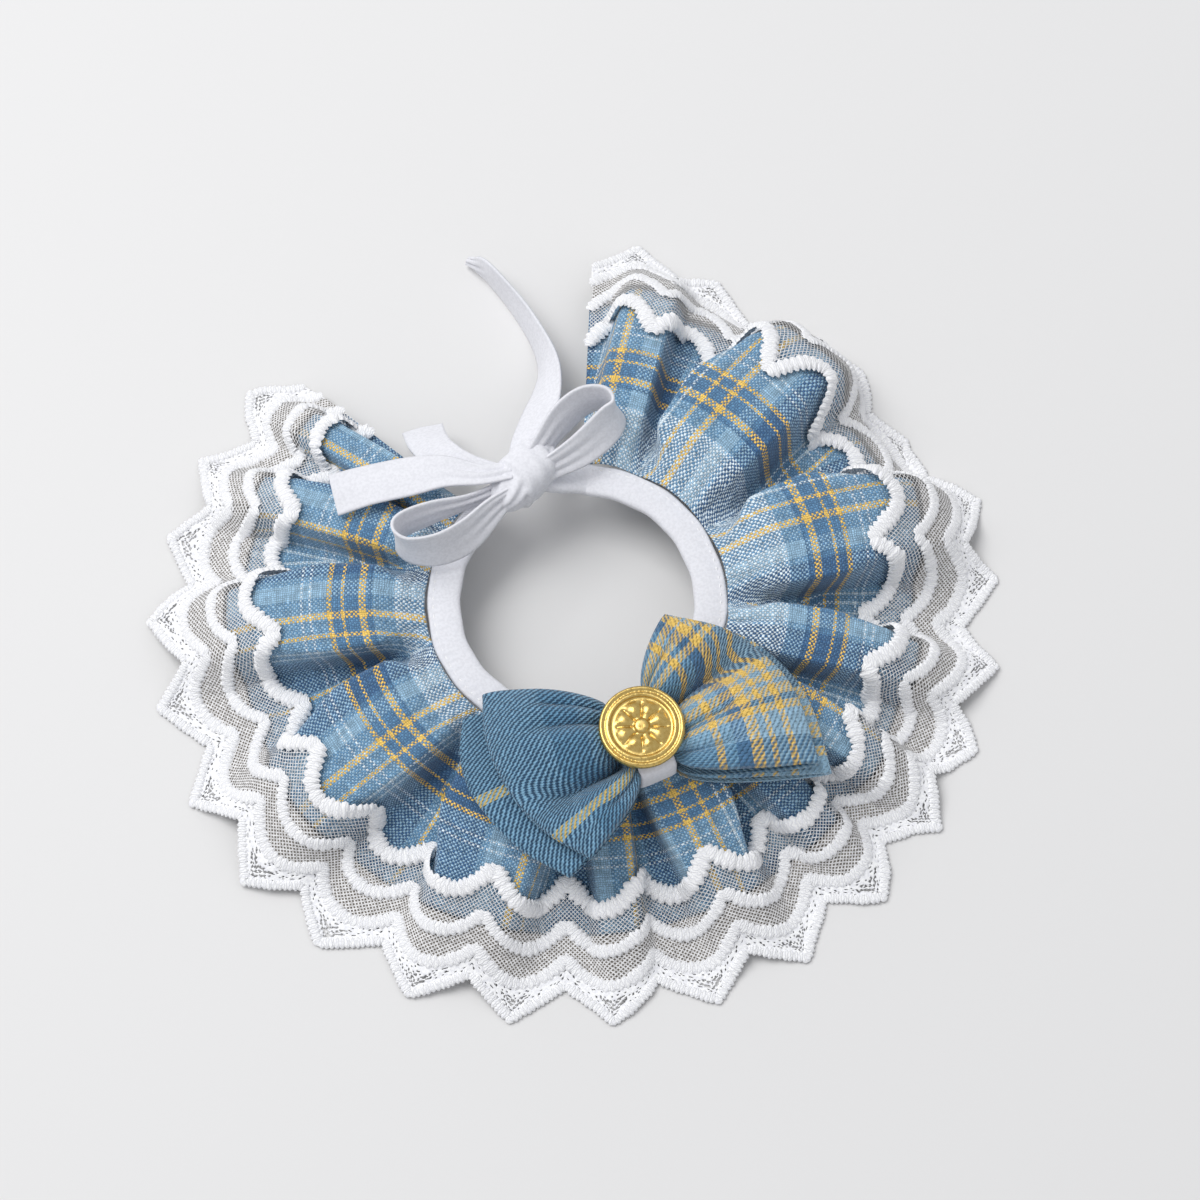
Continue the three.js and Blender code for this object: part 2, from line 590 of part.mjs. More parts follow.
// The white band round the waist: a flat ring with rounded corners, standing on its edge.
function bowBand() {
  const low = BOW_LOOPS[0].waist[0] - SEAM_GAP;
  const high = BOW_LOOPS[2].waist[1] + SEAM_GAP;
  const halfDepth = BOW_WAIST_HALF + SEAM_GAP;
  const outline = (grown, corner) => {
    const shape = new THREE.Path();
    const [y0, y1] = [-halfDepth - grown, halfDepth + grown];
    const [z0, z1] = [low - grown, high + grown];
    shape.moveTo(y0 + corner, z0).lineTo(y1 - corner, z0).quadraticCurveTo(y1, z0, y1, z0 + corner);
    shape.lineTo(y1, z1 - corner).quadraticCurveTo(y1, z1, y1 - corner, z1);
    shape.lineTo(y0 + corner, z1).quadraticCurveTo(y0, z1, y0, z1 - corner);
    shape.lineTo(y0, z0 + corner).quadraticCurveTo(y0, z0, y0 + corner, z0);
    return shape.getPoints(BAND_CORNER_STEPS);
  };
  const band = new THREE.Shape(outline(CLOTH_WALL, 2 * CLOTH_WALL));
  band.holes.push(new THREE.Path(outline(0, SEAM_GAP)));
  const geometry = new THREE.ExtrudeGeometry(band, { depth: BOW_BAND_WIDTH, bevelEnabled: false });
  geometry.rotateX(Math.PI / 2).rotateZ(Math.PI / 2);
  geometry.translate(BOW_CENTRE_X - BOW_BAND_WIDTH / 2, BOW_CENTRE_Y, 0);
  return geometry;
}

// ---- Button ----

// Profile of the button's face from its middle out, and which rows carry petals.
const BUTTON_FACE = [
  { radius: 0, height: 3.4, petals: 0 },
  { radius: 1.8, height: 3.3, petals: 0 },
  { radius: 3.2, height: 2.6, petals: 0.5 },
  { radius: 5.6, height: 2.9, petals: 0.7 },
  { radius: 7.6, height: 2.3, petals: 0.5 },
  { radius: 8.8, height: 2.1, petals: 0 },
  { radius: 9.8, height: 2.9, petals: 0 },
  { radius: 10.8, height: 2.5, petals: 0 },
  { radius: 11.8, height: 2.8, petals: 0 },
  { radius: BUTTON_DIAMETER / 2, height: 1.4, petals: 0 },
  { radius: BUTTON_DIAMETER / 2 - 0.4, height: 0.4, petals: 0 },
];
const SHANK = { radius: 3, height: 2.2 };
const BUTTON_SIDES = 32;         // four for each petal

function button() {
  const bandTop = BOW_LOOPS[2].waist[1] + SEAM_GAP + CLOTH_WALL;
  const seat = bandTop + SEAM_GAP + SHANK.height;
  const under = [
    { radius: 11, height: 0, petals: 0 },
    { radius: SHANK.radius, height: 0, petals: 0 },
    { radius: SHANK.radius, height: -SHANK.height, petals: 0 },
  ];
  const rows = [...BUTTON_FACE.slice(1), ...under];
  const rings = rows.map((row) => range(BUTTON_SIDES).map((j) => {
    const angle = (2 * Math.PI * j) / BUTTON_SIDES;
    const wave = (row.petals * (Math.cos(BUTTON_PETALS * angle) - 1)) / 2;
    return vector(row.radius * Math.cos(angle), row.radius * Math.sin(angle), row.height + wave);
  }));
  const geometry = solidThroughRings(rings);
  geometry.translate(BOW_CENTRE_X, BOW_CENTRE_Y, seat);
  return geometry;
}

// ---- The collar ----

function cloth(colour) {
  return new THREE.MeshStandardMaterial({ color: colour, roughness: 0.85, metalness: 0 });
}

function named(name, geometry, material) {
  const mesh = new THREE.Mesh(geometry, material);
  mesh.name = name;
  return mesh;
}

const white = cloth(COLOURS.white);
const gold = new THREE.MeshStandardMaterial({ color: COLOURS.gold, roughness: 0.3, metalness: 1 });
const knotRoom = knotLump(SEAM_GAP);

const collar = new THREE.Group();
collar.add(named("plaid_ruffle", plaidRuffle(), cloth(COLOURS.plaid)));
collar.add(named("lace_frill", laceFrill(), white));
collar.add(named("neck_binding", cutAway(neckBinding(), knotRoom), white));
collar.add(named("tie_knot", knotLump(0), white));
for (const [name, stations] of Object.entries(TIES)) {
  collar.add(named(name, cutAway(ribbon(stations), knotRoom), white));
}
for (const loop of BOW_LOOPS) {
  collar.add(named(loop.name, bowLoop(loop), cloth(COLOURS.bow)));
}
collar.add(named("bow_band", bowBand(), white));
collar.add(named("button", button(), gold));

// The origin goes to the bottom centre of the whole collar.
const box = new THREE.Box3().setFromObject(collar);
const centre = box.getCenter(new THREE.Vector3());
for (const mesh of collar.children) {
  mesh.geometry.translate(-centre.x, -centre.y, -box.min.z);
}

export default collar;
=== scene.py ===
# %% [markdown]
# # A lace collar with a double bow
#
# A pet's collar of pleated blue plaid cotton lies on a table. It has a scalloped lace frill, a white
# tape round the neck, a plaid bow with a stamped button in front and a ribbon tied behind. Nothing on
# it is stiff but the button, so nearly every piece is a thin sheet, and the lesson is about sheets:
# how to pleat, gather, knot and embroider them with a few formulas.

from math import radians

import bpy
import numpy as np
from mathutils import Matrix, Vector


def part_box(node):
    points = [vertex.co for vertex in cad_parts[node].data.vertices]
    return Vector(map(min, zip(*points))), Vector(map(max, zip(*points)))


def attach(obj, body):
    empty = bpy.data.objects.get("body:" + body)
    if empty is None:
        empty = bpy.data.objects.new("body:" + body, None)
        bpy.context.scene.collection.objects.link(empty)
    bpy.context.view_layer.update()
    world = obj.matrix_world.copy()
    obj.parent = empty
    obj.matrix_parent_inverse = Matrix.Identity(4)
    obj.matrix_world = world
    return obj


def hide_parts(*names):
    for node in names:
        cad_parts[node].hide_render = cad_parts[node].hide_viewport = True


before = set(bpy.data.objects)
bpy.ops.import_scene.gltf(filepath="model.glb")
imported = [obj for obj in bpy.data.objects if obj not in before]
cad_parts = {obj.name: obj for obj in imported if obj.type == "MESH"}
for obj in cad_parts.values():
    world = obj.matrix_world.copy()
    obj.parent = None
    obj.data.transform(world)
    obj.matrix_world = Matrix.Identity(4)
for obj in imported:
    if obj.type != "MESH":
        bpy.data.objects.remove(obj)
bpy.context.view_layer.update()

# %% [markdown]
# The collar is laid out in millimetres round the middle of its neck hole. The bow in front looks
# towards -Y, and a bearing is an angle round the neck in degrees, 0 in front and growing towards +X.
# The button sits at a known place from that middle, so the button's box tells where the middle lies.

# %% Where the neck is
NECK_RADIUS = 45
NECK_HEIGHT = 18
BOW_CENTRE = (-2, -51)

button_low, button_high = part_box("button")
button_middle = 1000 * (button_low + button_high) / 2
NECK_CENTRE = np.array([button_middle.x - BOW_CENTRE[0], button_middle.y - BOW_CENTRE[1], 0.0])
print("neck centre, mm:", NECK_CENTRE.round(2))


def metres(points):
    """Millimetres round the neck centre, as metres in the frame."""
    return (np.asarray(points, float) + NECK_CENTRE) / 1000


# %% [markdown]
# ## Small tools
#
# A mesh is a list of points and a list of faces. Most pieces here are grids of points, so one
# function turns a grid into a mesh, and may close it round either way, as a tube is closed.


# %% From points to a piece
def put(name, data):
    """An object in the scene that shows a mesh, a lamp or a camera."""
    made = bpy.data.objects.new(name, data)
    bpy.context.scene.collection.objects.link(made)
    return made


def piece(name, points, faces, material, shown_for=None, uv=None):
    """A mesh from points in millimetres that rides on the collar. shown_for is the solid that it is
    shown in place of."""
    mesh = bpy.data.meshes.new(name)
    faces = faces.tolist() if isinstance(faces, np.ndarray) else faces
    mesh.from_pydata(metres(points).reshape(-1, 3).tolist(), [], faces)
    mesh.polygons.foreach_set("use_smooth", np.ones(len(mesh.polygons), bool))
    if uv is not None:
        layer = mesh.uv_layers.new(name="cloth_mm")
        layer.data.foreach_set("uv", np.asarray(uv, np.float32).ravel())
    mesh.materials.append(material)
    mesh.update()
    made = put(name, mesh)
    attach(made, "root")
    if shown_for:
        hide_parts(shown_for)
    print(f"{name}: {len(faces)} faces")
    return made


def grid_faces(rows, columns, start=0, round_rows=False, round_columns=False):
    """The quads of a grid of rows x columns points, which may close on itself."""
    i = np.arange(rows if round_rows else rows - 1)[:, None]
    j = np.arange(columns if round_columns else columns - 1)[None, :]
    below, right = (i + 1) % rows, (j + 1) % columns
    corners = [i * columns + j, i * columns + right, below * columns + right, below * columns + j]
    return start + np.stack(np.broadcast_arrays(*corners), -1).reshape(-1, 4)


def corner_uv(u, v):
    """The cloth coordinates of every corner of a grid's quads."""
    here = np.stack([u, v], -1)
    return np.stack([here[:-1, :-1], here[:-1, 1:], here[1:, 1:], here[1:, :-1]], 2).reshape(-1, 2)


def thicken(made, wall):
    """Gives a sheet its thickness in millimetres, half to each side."""
    solid = made.modifiers.new("wall", "SOLIDIFY")
    solid.thickness = wall / 1000
    solid.offset = 0
    solid.use_even_offset = False


def smooth(t):
    """A share from 0 to 1, eased at both ends."""
    t = np.clip(t, 0, 1)
    return t * t * (3 - 2 * t)


def unit(v):
    """Vectors turned into directions, with a length of 1."""
    return v / np.maximum(np.linalg.norm(v, axis=-1, keepdims=True), 1e-9)


def along(line):
    """How far each point of a line lies from its start."""
    return np.concatenate([[0], np.cumsum(np.linalg.norm(np.diff(line, axis=0), axis=1))])


def around(count):
    """Angles that divide a full turn into equal parts."""
    return np.radians(np.linspace(0, 360, count + 1)[:-1])


def swept(line, side, up, across, height):
    """Points of a section carried along a line, each row of it set out to the side and upwards."""
    return line[:, None] + side[:, None] * across[..., None] + up[:, None] * height[..., None]


# %% [markdown]
# Colours are written as sRGB hex values, as a paint chart gives them, and the shader works in linear
# light, so one function converts them. Another adds a shader node with its settings and its links, and
# three short ones use it for the nodes that come up most: a sum, a change of range, a mix of colours.


# %% Colours and nodes
def linear(hex_colour):
    """An sRGB hex value as linear red, green and blue, and an alpha of 1."""
    parts = [int(hex_colour[i:i + 2], 16) / 255 for i in (1, 3, 5)]
    return [c / 12.92 if c <= 0.04045 else ((c + 0.055) / 1.055) ** 2.4 for c in parts] + [1.0]


def add(tree, kind, inputs=None, **settings):
    """Adds a node. inputs are numbers, colours, or the nodes and sockets that feed it."""
    node = tree.nodes.new("ShaderNode" + kind)
    for name, value in settings.items():
        setattr(node, name, value)
    for name, value in (inputs or {}).items():
        if isinstance(value, bpy.types.Node):
            value = value.outputs[0]
        if isinstance(value, bpy.types.NodeSocket):
            tree.links.new(value, node.inputs[name])
        else:
            node.inputs[name].default_value = value
    return node


def calculate(tree, operation, *values):
    """One sum with numbers, or with what other nodes give."""
    return add(tree, "Math", dict(enumerate(values)), operation=operation)


def ranged(tree, value, low, high, to_low=0.0, to_high=1.0):
    """A value that runs between two new limits as another runs from low to high."""
    return add(tree, "MapRange", {"Value": value, "From Min": low, "From Max": high,
                                  "To Min": to_low, "To Max": to_high})


def mixed(tree, share, first, second):
    """A colour between two, which are hex values or what other nodes give."""
    ends = [linear(end) if isinstance(end, str) else end for end in (first, second)]
    return add(tree, "Mix", {0: share, 6: ends[0], 7: ends[1]}, data_type="RGBA").outputs[2]


def start_material(name, **surface):
    """A material, its node tree and its shader, with the shader's own sockets set."""
    material = bpy.data.materials.new(name)
    material.use_nodes = True
    shader = material.node_tree.nodes["Principled BSDF"]
    for socket, value in surface.items():
        shader.inputs[socket.replace("_", " ")].default_value = value
    return material, material.node_tree, shader


def finish_material(tree, shader, colour, height=None, depth_mm=0.1, roughness=None):
    """Links a colour to the shader, and a relief of the given depth and a roughness if there are any."""
    tree.links.new(colour, shader.inputs["Base Color"])
    if height is not None:
        bump = add(tree, "Bump", {"Height": height, "Distance": depth_mm / 1000, "Strength": 1.0})
        tree.links.new(bump.outputs[0], shader.inputs["Normal"])
    if roughness is not None:
        tree.links.new(roughness.outputs[0], shader.inputs["Roughness"])


# %% [markdown]
# ## Camera, table and light
#
# The camera looks down at a steep angle and a little from the left, from 0.9 m away with a 90 mm
# lens, so the collar fills the frame without distortion. Its aim is worked out from where the neck's
# middle should fall in a square frame of 1200 steps, at 0.3 mm a step.

# %% Camera
AZIMUTH, ELEVATION, DISTANCE = radians(24), radians(67.7), 900
FRAME_STEPS, STEP_MM = 1200, 0.3
NECK_AT = (577, 601)

right = np.array([np.cos(AZIMUTH), -np.sin(AZIMUTH), 0])
away = np.array([np.sin(AZIMUTH), np.cos(AZIMUTH), 0])
back = -np.cos(ELEVATION) * away + np.array([0, 0, np.sin(ELEVATION)])
aim = np.array([0, 0, NECK_HEIGHT], float)
aim += right * (FRAME_STEPS / 2 - NECK_AT[0]) * STEP_MM
aim -= away * (FRAME_STEPS / 2 - NECK_AT[1]) * STEP_MM / np.sin(ELEVATION)

camera = put("camera", bpy.data.cameras.new("camera"))
camera.data.lens = 90
camera.data.sensor_width = 36
camera.data.clip_start, camera.data.clip_end = 0.01, 20
axes = np.column_stack([right, np.cross(back, right), back])
camera_place = Matrix.Translation(Vector(metres(aim + back * DISTANCE)))
camera.matrix_world = camera_place @ Matrix(axes.tolist()).to_4x4()
bpy.context.scene.camera = camera

# %% [markdown]
# The table is a pale board with a faint mottle. One broad lamp hangs high on the left and behind,
# so the shadows fall to the right and stay soft, and a dim world light fills them.

# %% Table and light
board, tree, shader = start_material("painted_board", Roughness=0.85)
mottle = add(tree, "TexNoise", {"Scale": 9, "Detail": 2})
finish_material(tree, shader, mixed(tree, mottle, "#e3e2e1", "#e9e8e7"))

TABLE_HALF = 4.0                 # metres
table_mesh = bpy.data.meshes.new("table")
table_corners = [(x * TABLE_HALF, y * TABLE_HALF, 0) for x, y in ((-1, -1), (1, -1), (1, 1), (-1, 1))]
table_mesh.from_pydata(table_corners, [], [(0, 1, 2, 3)])
table_mesh.materials.append(board)
put("table", table_mesh)


def lamp(name, place, power, size):
    """A square lamp of the given size that looks at the collar."""
    light = bpy.data.lights.new(name, "AREA")
    light.energy, light.size = power, size
    facing = place.to_track_quat("Z", "Y").to_matrix().to_4x4()
    put(name, light).matrix_world = Matrix.Translation(place) @ facing


lamp("window", place=Vector((-0.6, 0.88, 1.8)), power=28, size=1.4)
world = bpy.data.worlds.new("room")
bpy.context.scene.world = world
world.use_nodes = True
sky = world.node_tree.nodes["Background"].inputs
sky["Color"].default_value = linear("#f4f6fa")
sky["Strength"].default_value = 0.6
bpy.context.scene.view_settings.view_transform = "Standard"

# %% [markdown]
# ## The pleated cloth as one surface
#
# The ruffle and the lace are one gathered cloth, so both are made from one function. It takes a place
# on the cloth, which is a pleat's number plus the share of its width, and a distance from the neck
# seam, and gives the point in space. A pressed pleat isn't a round wave. It is a nearly flat panel with
# steep sides that overhang the narrow troughs, and the whole cloth falls away from the neck until it
# rests on the table.

# %% Tables of the pleats
PLEATS = np.array([
    # bearing where it starts, rise in mm, lean at start and at end as shares of its width, and mm from
    # its middle to a plaid line
    (-157, 7, 0.0, 0.16, 2),
    (-144, 10, 0.14, 0.08, 6),
    (-126, 13, 0.12, 0.2, 3),
    (-96, 13, 0.2, 0.08, 3),
    (-59, 10, 0.26, 0.08, 9),
    (-24, 6, 0.0, 0.08, 4),
    (-9, 8, 0.14, 0.3, -4),
    (15, 7, 0.0, 0.16, 20),
    (30, 10, 0.16, 0.12, 4),
    (46, 11, 0.12, 0.12, 12),
    (66, 13, 0.22, 0.3, 2),
    (97, 14, 0.04, 0.3, 3.8),
    (133, 9, 0.0, 0.0, 3),
])
STARTS, RISES, START_LEANS, END_LEANS, PLAID_SHIFTS = PLEATS.T
LAST_BEARING = 154
WIDTHS = np.diff(STARTS, append=LAST_BEARING)
# At these distances from the seam: the share of a pleat that its panel takes, and how much of the
# panel is flat.
CREST_D = [0, 12, 30, 54, 68, 92]
CREST_WIDE = [1, 0.95, 0.78, 0.6, 0.72, 1]
CREST_FLAT = [0.2, 0.6, 0.66, 0.6, 0.3, 0.1]
CREST_SAG = 0.12                 # share of the rise by which a panel's edges lie lower than its middle
# Shares of a pleat's rise and of its lean that are there at these distances.
RISE_D, RISE_SHARE = [0, 6, 14, 30, 50, 66, 78, 92], [0.1, 0.5, 0.95, 1.2, 1.2, 0.75, 0.5, 0.3]
LEAN_D, LEAN_SHARE = [0, 5, 14, 32, 44, 54, 92], [0, 0.1, 1, 0.95, 0.4, 0.1, 0]
OVERHANG = 0.55                  # share of its lean that a panel's edge keeps

# %% Tables of the fall
# Degrees below level, a row for each bearing and a column for each distance.
FALL_D = np.array([0, 20, 45, 62, 72, 92])
FALL_BEARING = [-157, -110, -50, 60, 80, 95, 125, 138, 154]
FALL_DEGREES = np.array([
    (12, 10, 12, 18, 22, 22),
    (15, 14, 13, 14, 13, 10),
    (17, 15, 14, 14, 12, 9),
    (17, 14, 14, 14, 12, 9),
    (10, 10, 10, 17, 24, 24),
    (4, 2, 6, 40, 62, 66),
    (4, 2, 6, 40, 62, 66),
    (6, 4, 8, 30, 45, 45),
    (10, 6, 8, 14, 20, 24),
])
# Share of its length that the cloth reaches out.
REACH_BEARING = [-157, -110, -60, -30, 30, 60, 90, 154]
REACH_SHARE = [0.97, 0.97, 0.94, 0.925, 0.925, 0.95, 1, 1]
RESTING_HEIGHT = 0.1             # of cloth that lies on the table
RESTING_BLEND = 2                # height over which it eases down to that

# %% [markdown]
# The fall is summed up once on a table of bearings and distances, one millimetre apart, and looked up
# from there, because the cloth function is called for hundreds of thousands of points.

# %% The cloth's profile
bearings = np.arange(STARTS[0], LAST_BEARING + 1.0)
distances = np.arange(0, 96.0)


def fall_at(bearing, d):
    """The cloth's fall below level, in radians."""
    columns = np.stack([np.interp(bearing, FALL_BEARING, degrees) for degrees in FALL_DEGREES.T], -1)
    i = np.clip(np.searchsorted(FALL_D, d, side="right") - 1, 0, len(FALL_D) - 2)
    near = np.take_along_axis(columns, i[..., None], -1)[..., 0]
    far = np.take_along_axis(columns, i[..., None] + 1, -1)[..., 0]
    share = smooth((d - FALL_D[i]) / (FALL_D[i + 1] - FALL_D[i]))
    return np.radians(near + (far - near) * share)


steps = fall_at(*np.meshgrid(bearings, distances[:-1] + 0.5, indexing="ij"))
start = np.zeros((len(bearings), 1))
OUT = np.concatenate([start, np.cumsum(np.cos(steps), 1)], 1)
DOWN = np.concatenate([start, np.cumsum(np.sin(steps), 1)], 1)


def look_up(table, bearing, d):
    """A value between the four nearest entries of a table of bearings and distances."""
    x = np.clip(bearing - bearings[0], 0, len(bearings) - 1.001)
    y = np.clip(d, 0, len(distances) - 1.001)
    i, j = x.astype(int), y.astype(int)
    fx, fy = x - i, y - j
    near = table[i, j] * (1 - fy) + table[i, j + 1] * fy
    far = table[i + 1, j] * (1 - fy) + table[i + 1, j + 1] * fy
    return near * (1 - fx) + far * fx


def cloth_point(pleat, d):
    """A point of the cloth, in millimetres."""
    pleat, d = np.broadcast_arrays(np.asarray(pleat, float), np.asarray(d, float))
    k = np.clip(np.floor(pleat).astype(int), 0, len(PLEATS) - 1)
    share = pleat - k
    from_crest = np.abs(2 * share - 1) / np.interp(d, CREST_D, CREST_WIDE)
    flat = np.interp(d, CREST_D, CREST_FLAT)
    panel = 1 - smooth((from_crest - flat) / (1 - flat))
    panel = panel * (1 - CREST_SAG * np.minimum(from_crest, 1) ** 2)
    lean = np.where(share < 0.5, -START_LEANS[k], END_LEANS[k]) * smooth(from_crest / flat) * panel
    lean = OVERHANG * lean * np.interp(d, LEAN_D, LEAN_SHARE)
    flat_bearing = STARTS[k] + WIDTHS[k] * share
    bearing = np.radians(STARTS[k] + WIDTHS[k] * (share + lean))
    lift = RISES[k] * np.interp(d, RISE_D, RISE_SHARE) * panel
    fall = fall_at(flat_bearing, d)
    out = look_up(OUT, flat_bearing, d) * np.interp(flat_bearing, REACH_BEARING, REACH_SHARE)
    radius = NECK_RADIUS + out + lift * np.sin(fall)
    above = NECK_HEIGHT - look_up(DOWN, flat_bearing, d) + lift * np.cos(fall) - RESTING_HEIGHT
    eased = (above + RESTING_BLEND) ** 2 / (4 * RESTING_BLEND)
    eased = np.where(above > RESTING_BLEND, above, np.where(above < -RESTING_BLEND, 0, eased))
    return np.stack([radius * np.sin(bearing), -radius * np.cos(bearing), RESTING_HEIGHT + eased], -1)


def cloth_normal(pleat, d):
    """The cloth's upward direction, from points a little way along and across."""
    pleat, d = np.broadcast_arrays(np.asarray(pleat, float), np.asarray(d, float))
    step, aside = 1, 0.03        # mm, and shares of a pleat
    along = cloth_point(pleat, d + step) - cloth_point(pleat, np.maximum(d - step, 0))
    before, after = np.maximum(pleat - aside, 0), np.minimum(pleat + aside, len(PLEATS))
    return unit(np.cross(along, cloth_point(after, d) - cloth_point(before, d)))


# %% [markdown]
# The cloth between two scallops of lace is always equally long, but a tall pleat takes more cloth than
# a low one. So the way along the cloth is measured at one distance from the seam, and a lookup turns
# millimetres of cloth into pleat numbers.

# %% Even lengths along the cloth
LACE_REPEATS = 24
SAMPLES_PER_PLEAT = 80
MEASURED_AT = 66                 # mm from the seam, just past the hem
pleat_samples = np.linspace(0, len(PLEATS), len(PLEATS) * SAMPLES_PER_PLEAT + 1)
run = np.linalg.norm(np.diff(cloth_point(pleat_samples, MEASURED_AT), axis=0), axis=1)
CLOTH_RUN = np.concatenate([[0], np.cumsum(run)])
CLOTH_LENGTH = CLOTH_RUN[-1]
REPEAT_MM = CLOTH_LENGTH / LACE_REPEATS
print(f"cloth just past the hem: {CLOTH_LENGTH:.0f} mm, one scallop {REPEAT_MM:.1f} mm")


def pleat_at(cloth_mm):
    """The pleat number at a length of cloth from its first end."""
    return np.interp(cloth_mm, CLOTH_RUN, pleat_samples)


# %% [markdown]
# ## Plaid cotton
#
# The ruffle is plain-weave cotton, dyed in the yarn. Warp threads run from the neck to the hem and
# weft threads run along the collar, and each set has its own stripes. At every crossing only one of
# the two shows, now the warp, now the weft, like the squares of a chessboard, so a checker node picks
# between two striped colours. That gives the real plaid's three mixed tones and its dotted yellow
# lines. The threads are 0.65 mm apart; they are drawn 0.7 mm apart so that they show.

# %% Stripes and weave
THREAD_MM = 0.7
BLUE, DEEP_BLUE_AND_TROUGH_SHADE, NAVY = "#5b87ab", "#325982", "#4c7398"
SKY, WEFT_BLUE, PALE = "#8fb3cc", "#8eb0c8", "#cddce6"
YELLOW = "#e9c262"
# Stripes as (where each one starts in mm, its colour); the last number is the repeat.
# The deep blue warp stripe is the plaid's own, but it is set out from each crest's middle so that it
# falls in the troughs, where its dark colour also stands in as painted shade.
WARP_STRIPES = ([(0, YELLOW), (2.2, BLUE), (6.6, YELLOW), (8.0, BLUE), (12, PALE), (12.8, BLUE),
                 (15, PALE), (15.8, BLUE), (18, DEEP_BLUE_AND_TROUGH_SHADE), (36, BLUE), (38, SKY), (43, BLUE)], 48)
WEFT_STRIPES = ([(0, PALE), (17, WEFT_BLUE), (22.6, NAVY), (24.6, YELLOW), (26.8, NAVY), (31, YELLOW),
                 (32.1, NAVY), (35, YELLOW), (36.4, WEFT_BLUE), (41, PALE), (42, WEFT_BLUE), (44, PALE),
                 (45, WEFT_BLUE)], 80)


def stripes(tree, millimetres, table):
    """A striped colour from a coordinate in millimetres."""
    rows, repeat = table
    turns = calculate(tree, "DIVIDE", millimetres, repeat)
    ramp = add(tree, "ValToRGB", {0: calculate(tree, "FRACT", turns)})
    ramp.color_ramp.interpolation = "CONSTANT"
    stops = ramp.color_ramp.elements
    while len(stops) < len(rows):
        stops.new(1.0)
    for stop, (first, colour) in zip(stops, rows):
        stop.position = first / repeat
        stop.color = linear(colour)
    return ramp


def scaled(tree, colour, amount, at_low, at_high, low=0.3, high=0.7):
    """A colour made darker or lighter as an amount goes from low to high."""
    light = ranged(tree, amount, low, high, at_low, at_high)
    return add(tree, "VectorMath", {0: colour, "Scale": light}, operation="SCALE").outputs[0]


def plaid_cotton(name):
    material, tree, shader = start_material(name, Roughness=0.85, Sheen_Weight=0.25, Sheen_Roughness=0.5)
    place = add(tree, "UVMap", uv_map="cloth_mm")
    sides = add(tree, "SeparateXYZ", {0: place})
    warp = stripes(tree, sides.outputs[0], WARP_STRIPES)
    weft = stripes(tree, sides.outputs[1], WEFT_STRIPES)
    # Threads wander by up to a millimetre, so the weave is never a ruled grid.
    bend = add(tree, "TexNoise", {"Vector": place, "Scale": 0.7, "Detail": 2})
    bent = add(tree, "VectorMath", {0: bend.outputs["Color"], 1: (1.1, 1.1, 0), 2: place},
               operation="MULTIPLY_ADD")
    per_mm = (1 / THREAD_MM, 1 / THREAD_MM, 0)
    threads = add(tree, "VectorMath", {0: bent, 1: per_mm}, operation="MULTIPLY")
    threads = add(tree, "VectorMath", {0: threads, 1: (0, 0, 0.5)}, operation="ADD")
    shade = add(tree, "TexChecker", {"Vector": threads, "Color1": warp, "Color2": weft, "Scale": 1.0})
    # Slubs: yarn that took more or less dye, long along the warp, long along the weft, and in patches.
    for stretch in ((1.3, 0.06, 0), (0.06, 1.3, 0), (0.4, 0.4, 0)):
        yarn = add(tree, "VectorMath", {0: place, 1: stretch}, operation="MULTIPLY")
        slubs = add(tree, "TexNoise", {"Vector": yarn, "Scale": 1.0, "Detail": 2})
        shade = scaled(tree, shade, slubs, 0.92, 1.24)
    # Each crossing is a small hump, and the gaps between the humps are painted darker, as painted shade.
    waves = add(tree, "VectorMath", {0: threads, 1: (np.pi, np.pi, 0)}, operation="MULTIPLY")
    wave_sides = add(tree, "SeparateXYZ", {0: waves})
    over_u, over_v = [calculate(tree, "SINE", wave_sides.outputs[side]) for side in (0, 1)]
    humps = calculate(tree, "ABSOLUTE", calculate(tree, "MULTIPLY", over_u, over_v))
    shade = scaled(tree, shade, humps, 0.6, 1.12, low=0, high=0.6)
    finish_material(tree, shader, shade, humps, depth_mm=0.25)
    return material


ruffle_cotton = plaid_cotton("yarn_dyed_cotton")

# %% [markdown]
# ## The ruffle
#
# A sewn ruffle is a long strip, pleated and held by the neck tape. Cloth simulation could gather it,
# but the pleats would fall anywhere, so the strip is laid on the cloth surface instead and gets its
# small gathers. The plaid has to run straight along every crest and hide its joins in the
# troughs, so the texture is measured from each crest's middle, in millimetres of cloth.

# %% Ruffle shape
RUFFLE_LENGTH = 61               # neck seam to hem
SEAM_GAP = 0.3
RUFFLE_WALL = 0.7                # hemmed cotton
RUFFLE_ROWS, PLEAT_COLUMNS = 52, 48
LOWEST_MIDDLE = 0.4              # height of the cloth's middle where it lies on the table

shares = np.linspace(0, 1, PLEAT_COLUMNS + 1)
ruffle_pleats = np.concatenate([k + shares[:-1] for k in range(len(PLEATS))] + [[len(PLEATS)]])
ruffle_rows = np.concatenate([[SEAM_GAP], np.linspace(4 * SEAM_GAP, RUFFLE_LENGTH, RUFFLE_ROWS)])
# Gathers and long creases: number, seed, shortest, longest, depth in mm, width in pleats.
CREASES = [(120, 3, 8, 24, 0.9, 0.035), (40, 5, 25, 70, 0.7, 0.05)]


def creases(pleat, d, count, seed, shortest, longest, depth, wide):
    """Soft troughs and ridges that start at the seam, uneven in place, length and depth."""
    pick = np.random.default_rng(seed)
    centre = np.sort(pick.uniform(0, len(PLEATS), count))
    drift = pick.uniform(-0.006, 0.006, count)
    length = pick.uniform(shortest, longest, count)
    sink = pick.uniform(-1, 0.6, count) * depth
    width = pick.uniform(0.6, 1.4, count) * wide
    total = np.zeros(np.broadcast(pleat, d).shape)
    for at, slope, reach, rise, wide in zip(centre, drift, length, sink, width):
        total += rise * smooth(1 - d / reach) * np.exp(-(((pleat - at - slope * d) / wide) ** 2))
    return total


